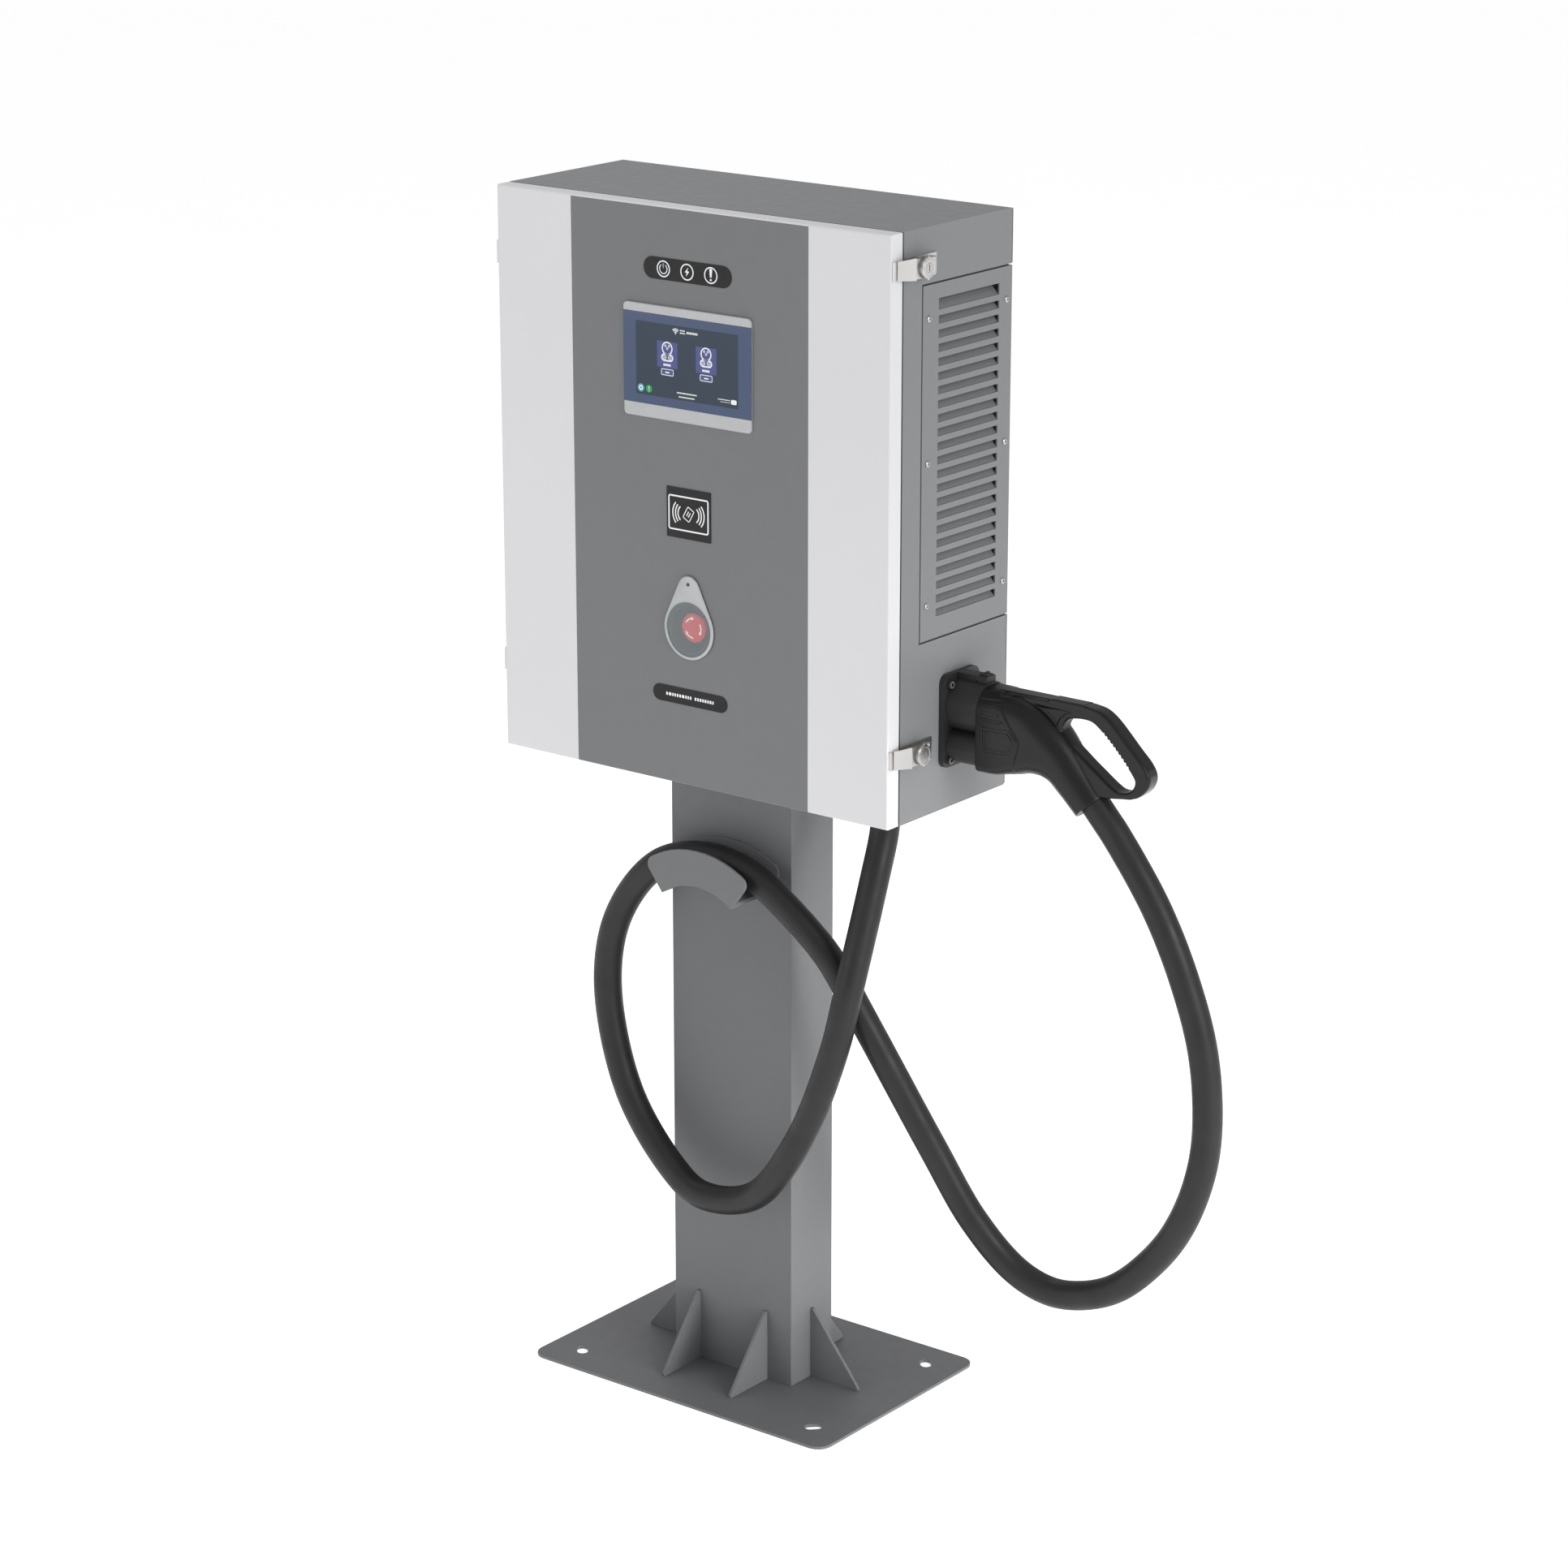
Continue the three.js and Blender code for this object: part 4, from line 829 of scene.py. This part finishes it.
# -------------------- vent screws
def vent_screw(number):
    """Pan head with a hexagon socket."""
    node = f"vent_screw_{number}"
    low, high = extent(node)
    y, z = middle_of(node).yz
    tail, tip = low.x, high.x
    radius = (high.z - low.z) / 2
    seat = extent("vent_panel")[1].x

    def hexagon(flat):
        points = []
        for i in range(24):
            angle = math.radians(15 * i)
            reach = flat / math.cos((angle + math.pi / 6) % (math.pi / 3) - math.pi / 6)
            points.append((y + reach * math.cos(angle), z + reach * math.sin(angle)))
        return points

    profile = [(tail, 1.4), (tail + 1, 2), (seat, 2), (seat + 0.02, radius), (tip - 0.9, radius)]
    profile += [(tip - 0.3, radius - 0.7), (tip, radius - 1.4)]
    layers = [(reach, circle(y, z, round_radius, 24)) for reach, round_radius in profile]
    layers += [(tip, hexagon(1.6)), (tip - 1.3, hexagon(1.5))]
    mesh = mesh_from(f"vent_screw_head_{number}", *layered(layers, facing_side), 30)
    add_piece(f"vent_screw_head_{number}", mesh, STEEL, "post", [node])


for screw_number in range(1, 7):
    vent_screw(screw_number)


# -------------------- connector
MID = 19.0  # the connector's middle plane
# The tube bends down from the holster to the cable: centre x and z, lean in degrees, half width,
# half height, top and bottom corner radii of each section across it.
TUBE = [
    (370.2, 966, 0, 37.4, 53.4, 30, 12), (371.0, 966, 0, 38, 54, 31, 13), (395, 966, 0, 38, 53.5, 31, 14),
    (418, 965, 6, 37, 50, 31, 18), (440, 961, 16, 36, 46, 31, 24), (462, 951, 31, 32.5, 38, 30, 28),
    (484, 935, 45, 29, 30, 28, 28), (501, 916.6, 48, 27.3, 27.5, 27, 27),
    (524.5, 890.5, 48, 25, 25, 24.7, 24.7),
]
GRIP_OUTER = [
    (520, 1020), (538, 1017), (554, 1008), (590, 973.5), (608, 955), (613.5, 943), (611, 931), (602, 920),
    (588, 912), (572, 909.5), (548, 906),
]
GRIP_HOLE = [
    (483, 984), (491, 971), (513, 954), (536, 938), (556, 924), (566, 919), (578, 919), (588, 925),
    (592, 935.5), (586, 946), (536, 995.5), (525, 1001), (503, 1001), (490, 997),
]
HIDDEN_EDGE = [(384, 1020), (384, 1000), (446, 966), (524, 904)]  # the plate's side inside the tube
HOLE_MIDDLE = (539.0, 959.0)
GRIP_HALF = 12.0
TAIL_END = np.array([524.5, MID, 890.5])
TAIL_AXIS = np.array([math.sin(math.radians(42)), 0, -math.cos(math.radians(42))])
TAIL_SIDE = np.array([math.cos(math.radians(42)), 0, math.sin(math.radians(42))])
VOXEL = 0.85  # grid in which the connector's forms are fused


def through(rows, steps, closed=False):
    """Centripetal curve through rows of numbers, with a number of points between each pair."""
    rows = np.array(rows, float)
    count = len(rows)
    result = []
    for i in range(count if closed else count - 1):
        if closed:
            p0, p1, p2, p3 = (rows[(i + k) % count] for k in (-1, 0, 1, 2))
        else:
            p1, p2 = rows[i], rows[i + 1]
            p0 = rows[i - 1] if i else 2 * p1 - p2
            p3 = rows[i + 2] if i + 2 < count else 2 * p2 - p1
        spans = [max(np.linalg.norm(b - a), 1e-6) ** 0.5 for a, b in ((p0, p1), (p1, p2), (p2, p3))]
        t0, t1, t2, t3 = np.cumsum([0] + spans)
        for t in np.linspace(t1, t2, steps, endpoint=False):
            a1 = ((t1 - t) * p0 + (t - t0) * p1) / (t1 - t0)
            a2 = ((t2 - t) * p1 + (t - t1) * p2) / (t2 - t1)
            a3 = ((t3 - t) * p2 + (t - t2) * p3) / (t3 - t2)
            b1 = ((t2 - t) * a1 + (t - t0) * a2) / (t2 - t0)
            b2 = ((t3 - t) * a2 + (t - t1) * a3) / (t3 - t1)
            result.append(((t2 - t) * b1 + (t - t1) * b2) / (t2 - t1))
    if not closed:
        result.append(rows[-1])
    return np.array(result)


def tube_section(x, z, lean, wide, tall, crown, corner):
    """One outline across the tube, leaning with it."""
    outline = (
        arc(wide - corner, corner - tall, corner, -90, 0, 8)
        + arc(wide - crown, tall - crown, crown, 0, 90, 12)
        + arc(crown - wide, tall - crown, crown, 90, 180, 12)
        + arc(corner - wide, corner - tall, corner, 180, 270, 8)
    )
    angle = math.radians(lean)
    return [(x + up * math.sin(angle), MID + across, z + up * math.cos(angle)) for across, up in outline]


def tube_form():
    """The bent body of the connector, with a crisp rim at the holster end."""
    sections = [tube_section(*TUBE[0])] + [tube_section(*row) for row in through(TUBE[1:], 8)]
    rows, count = len(sections), len(sections[0])
    return [point for section in sections for point in section], skin(rows, count) + end_caps(rows, count)


def plate_form():
    """Closed plate round the hand hole, with rolled edges: one cross-section for each direction."""
    angles = np.linspace(-math.pi, math.pi, 360, endpoint=False)
    hole = cast(through(GRIP_HOLE, 8, closed=True), angles, HOLE_MIDDLE)
    outer = cast([*HIDDEN_EDGE, *through(GRIP_OUTER, 8)[::-1]], angles, HOLE_MIDDLE)
    vertices = []
    for inner, edge in zip(hole, outer):
        length = np.linalg.norm(edge - inner)
        roll = min(4.5, 0.46 * length)
        profile = (
            arc(roll, roll - GRIP_HALF, roll, 180, 270, 4)
            + arc(length - roll, roll - GRIP_HALF, roll, 270, 360, 4)
            + arc(length - roll, GRIP_HALF - roll, roll, 0, 90, 4)
            + arc(roll, GRIP_HALF - roll, roll, 90, 180, 4)
        )
        along = (edge - inner) / length
        vertices += [(inner[0] + along[0] * s, MID + depth, inner[1] + along[1] * s) for s, depth in profile]
    return vertices, skin(len(angles), len(profile), loop=True)


def segment_distance(points, a, b):
    """Distance in x and z from each point to a segment."""
    a, b = np.array(a, float), np.array(b, float)
    along = b - a
    share = np.clip(((points - a) @ along) / (along @ along), 0, 1)
    return np.linalg.norm(points - a - share[:, None] * along, axis=1)


def line_mask(flat, corners, half_width):
    """1 on a polyline, fading to 0 at half_width from it."""
    nearest = np.min([segment_distance(flat, a, b) for a, b in zip(corners, corners[1:])], axis=0)
    return np.clip(1 - nearest / half_width, 0, 1) ** 0.7


def step_up(value, low, high):
    """Smooth rise from 0 to 1 between two limits."""
    share = np.clip((value - low) / (high - low), 0, 1)
    return share * share * (3 - 2 * share)


SIDE_PANEL = [(374, 1009), (403, 1010), (435, 964), (422, 912)]
SIDE_RIBS = [[(380, height), (end, height), (end + 2.6, height - 3.6), (380, height - 3.6)]
             for height, end in ((1003.5, 398), (995, 403.5), (986.5, 409.5))]
PENTAGON = [(381, 974.5), (420.5, 976), (431, 963), (420.5, 944), (381, 943)]
INNER_PENTAGON = [(385, 970.5), (418.5, 971.5), (425.5, 963), (418.5, 948), (385, 947)]
RIDGE_SLOT = [(398, 1016.5), (462, 1017.5)]
INSERT_EDGE = [(640, 951), (604, 951), (604, 942), (600, 930), (590, 922), (590, 900)]
NOTCH_START = (540, 993)
NOTCH_PITCH = 5.8


def web_dish(flat, from_middle):
    """Shallow pocket between the tube and the hand hole."""
    hole = through(GRIP_HOLE, 4, closed=True)
    sides = zip(hole, np.roll(hole, -1, axis=0))
    from_hole = np.min([segment_distance(flat, start, end) for start, end in sides], axis=0)
    dish = step_up(from_hole, 6.5, 8.5) * step_up(508 - flat[:, 0] + 0.4 * (flat[:, 1] - 1000), 0, 3)
    dish *= step_up(1011 - flat[:, 1], 0, 4) * step_up(from_middle, 7, 10)
    return dish * step_up(13.5 - from_middle, 0, 1)


def finger_notches(flat, from_middle):
    """Row of small notches along the inside of the handle."""
    along = (flat - NOTCH_START) @ np.array([0.707, -0.707])
    across = (flat - NOTCH_START) @ np.array([0.707, 0.707])
    notches = step_up(np.cos(2 * math.pi * along / NOTCH_PITCH), 0.15, 0.75)
    notches *= step_up(across, -2, -1) * step_up(6.5 - across, 0, 1)
    notches *= step_up(along, 3, 5) * step_up(60 - along, 0, 2)
    return notches * step_up(from_middle, 5, 8)


def thumb_pad(flat, normals):
    """Slightly raised stretch on top, where the handle leaves the tube."""
    pad = step_up(normals[:, 2], 0.5, 0.9) * step_up(flat[:, 0], 465, 466) * step_up(516 - flat[:, 0], 0, 1)
    return pad * step_up(flat[:, 1], 1012, 1016)


def tail_seam(points):
    """Parting line under the tube's tail."""
    from_end = (points - TAIL_END) @ TAIL_AXIS
    off_axis = (points - TAIL_END) @ TAIL_SIDE
    return np.clip(1 - np.abs(off_axis + 21.8) / 1.1, 0, 1) * step_up(from_end, -72, -66)


def relief(points, normals):
    """How far each point of the connector moves along its normal, in millimetres."""
    flat = points[:, [0, 2]]
    from_middle = np.abs(points[:, 1] - MID)
    side_on = step_up(np.abs(normals[:, 1]), 0.35, 0.7)
    height = -1.1 * side_on * line_mask(flat, SIDE_PANEL, 1.8)
    height -= 1.3 * line_mask(flat, RIDGE_SLOT, 1.8) * step_up(from_middle, 8, 11)
    height -= 1.3 * web_dish(flat, from_middle) * side_on
    height += 0.8 * thumb_pad(flat, normals)
    height -= 1.1 * finger_notches(flat, from_middle)
    height -= 0.7 * tail_seam(points)
    height -= 0.8 * line_mask(flat, INSERT_EDGE, 1.2) * step_up(9.5 - from_middle, 0, 1)
    return height


def traced_lines(shell):
    """Raised hairlines laid on both cheeks of the connector, following its surface, in a lighter plastic that
    paints a highlight along them.
    """
    corners = [vertex.co.copy() for vertex in shell.vertices]
    surface = BVHTree.FromPolygons(corners, [tuple(face.vertices) for face in shell.polygons])
    strips = []
    for outline in (*SIDE_RIBS, PENTAGON, INNER_PENTAGON):
        flat, strip_faces = ribbon(closely(outline, 1.5), 1.0, closed=True)
        for side in (-1, 1):
            points = []
            for x, z in flat:
                origin = Vector((x, MID + side * 80, z)) * MM
                hit, normal, _, _ = surface.ray_cast(origin, Vector((0, -side, 0)))
                points.append(tuple((hit + normal * 0.15 * MM) / MM))
            strips.append((points, strip_faces))
    mesh = mesh_from("connector_cheek_lines", *merged(*strips))
    lines = add_piece("connector_cheek_lines", mesh, CONNECTOR_LINE_PAINTED_HIGHLIGHT, "connector")
    wall = lines.modifiers.new("wall", "SOLIDIFY")
    wall.thickness = 1.3 * MM
    wall.offset = 0


def closely(outline, spacing):
    """A closed outline with extra points along its straight sides."""
    points = []
    for start, end in zip(outline, outline[1:] + outline[:1]):
        count = max(1, round(math.dist(start, end) / spacing))
        points += [tuple(Vector(start).lerp(Vector(end), i / count)) for i in range(count)]
    return points


def connector_form():
    """Fuses the tube and the grip plate into one skin, softens the joins and cuts the surface detail."""
    vertices, faces = merged(tube_form(), plate_form())
    rough = placed("connector_rough", mesh_from("connector_rough", vertices, faces))
    fuse = rough.modifiers.new("fuse", "REMESH")
    fuse.mode = "VOXEL"
    fuse.voxel_size = VOXEL * MM
    soften = rough.modifiers.new("soften", "SMOOTH")
    soften.factor = 0.5
    soften.iterations = 6
    bpy.context.view_layer.update()
    mesh = bpy.data.meshes.new_from_object(rough.evaluated_get(bpy.context.evaluated_depsgraph_get()))
    bpy.data.objects.remove(rough)
    count = len(mesh.vertices)
    points, normals = np.empty(count * 3), np.empty(count * 3)
    mesh.vertices.foreach_get("co", points)
    mesh.vertices.foreach_get("normal", normals)
    points, normals = points.reshape(-1, 3) / MM, normals.reshape(-1, 3)
    points += normals * relief(points, normals)[:, None]
    mesh.vertices.foreach_set("co", (points * MM).ravel())
    mesh.polygons.foreach_set("use_smooth", np.ones(len(mesh.polygons), bool))
    mesh.update()
    return mesh


def in_insert(centre):
    """Whether a point of the skin lies on the glossy insert at the handle's heel."""
    x, depth, z = centre.x / MM, abs(centre.y / MM - MID), centre.z / MM
    edge = 604 + 0.35 * (z - 942) + min(z - 934, 0)
    return x > max(592, edge) and z < 951 and depth < 8.5


def build_connector():
    """The soft skin, the insert lifted off it and the lines on its cheeks."""
    shell = connector_form()
    add_piece("connector_soft", shell, CONNECTOR_BLACK, "connector", ["connector_shell"])
    cover = bmesh.new()
    cover.from_mesh(shell)
    outside = [face for face in cover.faces if not in_insert(face.calc_center_median())]
    bmesh.ops.delete(cover, geom=outside, context="FACES")
    for vertex in cover.verts:
        vertex.co += vertex.normal * 0.35 * MM
    name = "grip_insert_soft"
    lifted = bpy.data.meshes.new(name)
    cover.to_mesh(lifted)
    cover.free()
    insert = add_piece(name, lifted, GLOSS_BLACK, "connector", ["grip_insert"])
    wall = insert.modifiers.new("wall", "SOLIDIFY")
    wall.thickness = 1.2 * MM
    wall.offset = -1
    traced_lines(shell)


build_connector()


# -------------------- charging cable
GLAND_X, GLAND_Y = middle_of("cable_gland").xy
CABLE_PATH = [
    (GLAND_X, GLAND_Y, 900), (GLAND_X, GLAND_Y, 858), (235, -24, 815), (239, -53, 749), (238, -101, 624),
    (219, -112, 527), (162, -113, 392), (86, -110, 298), (-6, -106, 277), (-56, -103, 302), (-137, -95, 391),
    (-179, -87, 529), (-163, -83, 630), (-93, -82, 718), (-13, -82, 744), (57, -81, 734), (121, -78, 696),
    (181, -71, 642), (228, -63, 570), (325, -36, 401), (379, -20, 310), (436, -8, 252), (485, -4, 234),
    (529, -1, 237), (586, 2, 261), (644, 5, 317), (679, 6, 371), (704, 8, 442), (711, 10, 508),
    (700, 13, 602), (669, 15, 690), (623, 17, 776), (560, 19, 858), (544, 19, 875.7), (527.9, 19, 893.5),
]
CABLE_RADIUS = 19.0


def cable():
    """One run of cable from the gland to the connector."""
    path = through(CABLE_PATH, 12)
    tangents = np.gradient(path, axis=0)
    tangents /= np.linalg.norm(tangents, axis=1)[:, None]
    across = np.array([1.0, 0, 0])
    sides = 40
    angles = np.linspace(0, 2 * math.pi, sides, endpoint=False)
    vertices = []
    for point, tangent in zip(path, tangents):
        across = across - tangent * (across @ tangent)
        across /= np.linalg.norm(across)
        other = np.cross(tangent, across)
        ringed = point + CABLE_RADIUS * (np.cos(angles)[:, None] * across + np.sin(angles)[:, None] * other)
        vertices += [tuple(p) for p in ringed]
    faces = skin(len(path), sides) + end_caps(len(path), sides)
    made = placed("charging_cable_soft", mesh_from("charging_cable_soft", vertices, faces, 60))
    made.data.materials.append(JACKET)
    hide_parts("charging_cable", "cable_boot")
    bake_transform(made)


cable()


# -------------------- studio
def make_floor():
    """A pale floor out to the horizon that glows a little, as a backdrop lit from below does."""
    reach = 40.0
    mesh = bpy.data.meshes.new("floor")
    corners = [(-reach, -reach, 0), (reach, -reach, 0), (reach, reach, 0), (-reach, reach, 0)]
    mesh.from_pydata(corners, [], [(0, 1, 2, 3)])
    pale = Surface("floor_pale", (0.86, 0.86, 0.86, 1), 0.9)
    pale.mottle(pale.noise(3.0, 2.0), 0.004)
    pale.shader.inputs["Emission Color"].default_value = (1, 1, 1, 1)
    pale.shader.inputs["Emission Strength"].default_value = 0.55
    floor = placed("floor", mesh)
    floor.data.materials.append(pale.material)


def make_sky():
    """White behind the floor, and half as bright where it lights the part."""
    world = bpy.data.worlds.new("studio")
    bpy.context.scene.world = world
    world.use_nodes = True
    nodes, links = world.node_tree.nodes, world.node_tree.links
    sky = nodes["Background"]
    sky.inputs["Color"].default_value = (1, 1, 1, 1)
    seen = nodes.new("ShaderNodeLightPath")
    level = nodes.new("ShaderNodeMapRange")
    level.inputs["To Min"].default_value = 0.5
    level.inputs["To Max"].default_value = 1.0
    links.new(seen.outputs["Is Camera Ray"], level.inputs["Value"])
    links.new(level.outputs["Result"], sky.inputs["Strength"])


def aimed(made, location, looking):
    """Puts a lamp or camera at a place, facing a direction."""
    made.location = location
    made.rotation_mode = "QUATERNION"
    made.rotation_quaternion = looking.to_track_quat("-Z", "Y")


def lamp(name, location, target, size, power, spread=180):
    """Soft rectangular light; one with a narrow beam is kept out of reflections."""
    data = bpy.data.lights.new(name, "AREA")
    data.shape = "RECTANGLE"
    data.size, data.size_y = size
    data.energy = power
    data.spread = math.radians(spread)
    made = placed(name, data)
    aimed(made, location, Vector(target) - Vector(location))
    made.visible_glossy = spread == 180


def make_camera():
    """Looks down the photographed angle from the right of the door."""
    azimuth, elevation = math.radians(37.74), math.radians(16.99)
    level = math.cos(elevation)
    looking = Vector((-math.sin(azimuth) * level, math.cos(azimuth) * level, -math.sin(elevation)))
    data = bpy.data.cameras.new("camera")
    data.sensor_width = 36
    data.lens = 99.74
    data.clip_end = 200
    camera = placed("camera", data)
    aimed(camera, (3.3807, -4.2992, 2.4960), looking)
    bpy.context.scene.camera = camera
    bpy.context.scene.view_settings.view_transform = "Standard"


make_floor()
make_sky()
lamp("key_right", (5.2, -0.9, 3.1), (0.1, 0, 1.2), (2.2, 2.4), 95)
lamp("low_right", (3.0, -0.3, 0.35), (0, 0, 0.36), (1.6, 0.5), 5, 40)
lamp("fill_front", (-2.2, -4.6, 1.9), (0, 0, 0.8), (3.0, 3.0), 30)
lamp("top", (-1.6, 0.4, 4.6), (-0.2, 0, 1.0), (2.5, 2.5), 36)
make_camera()
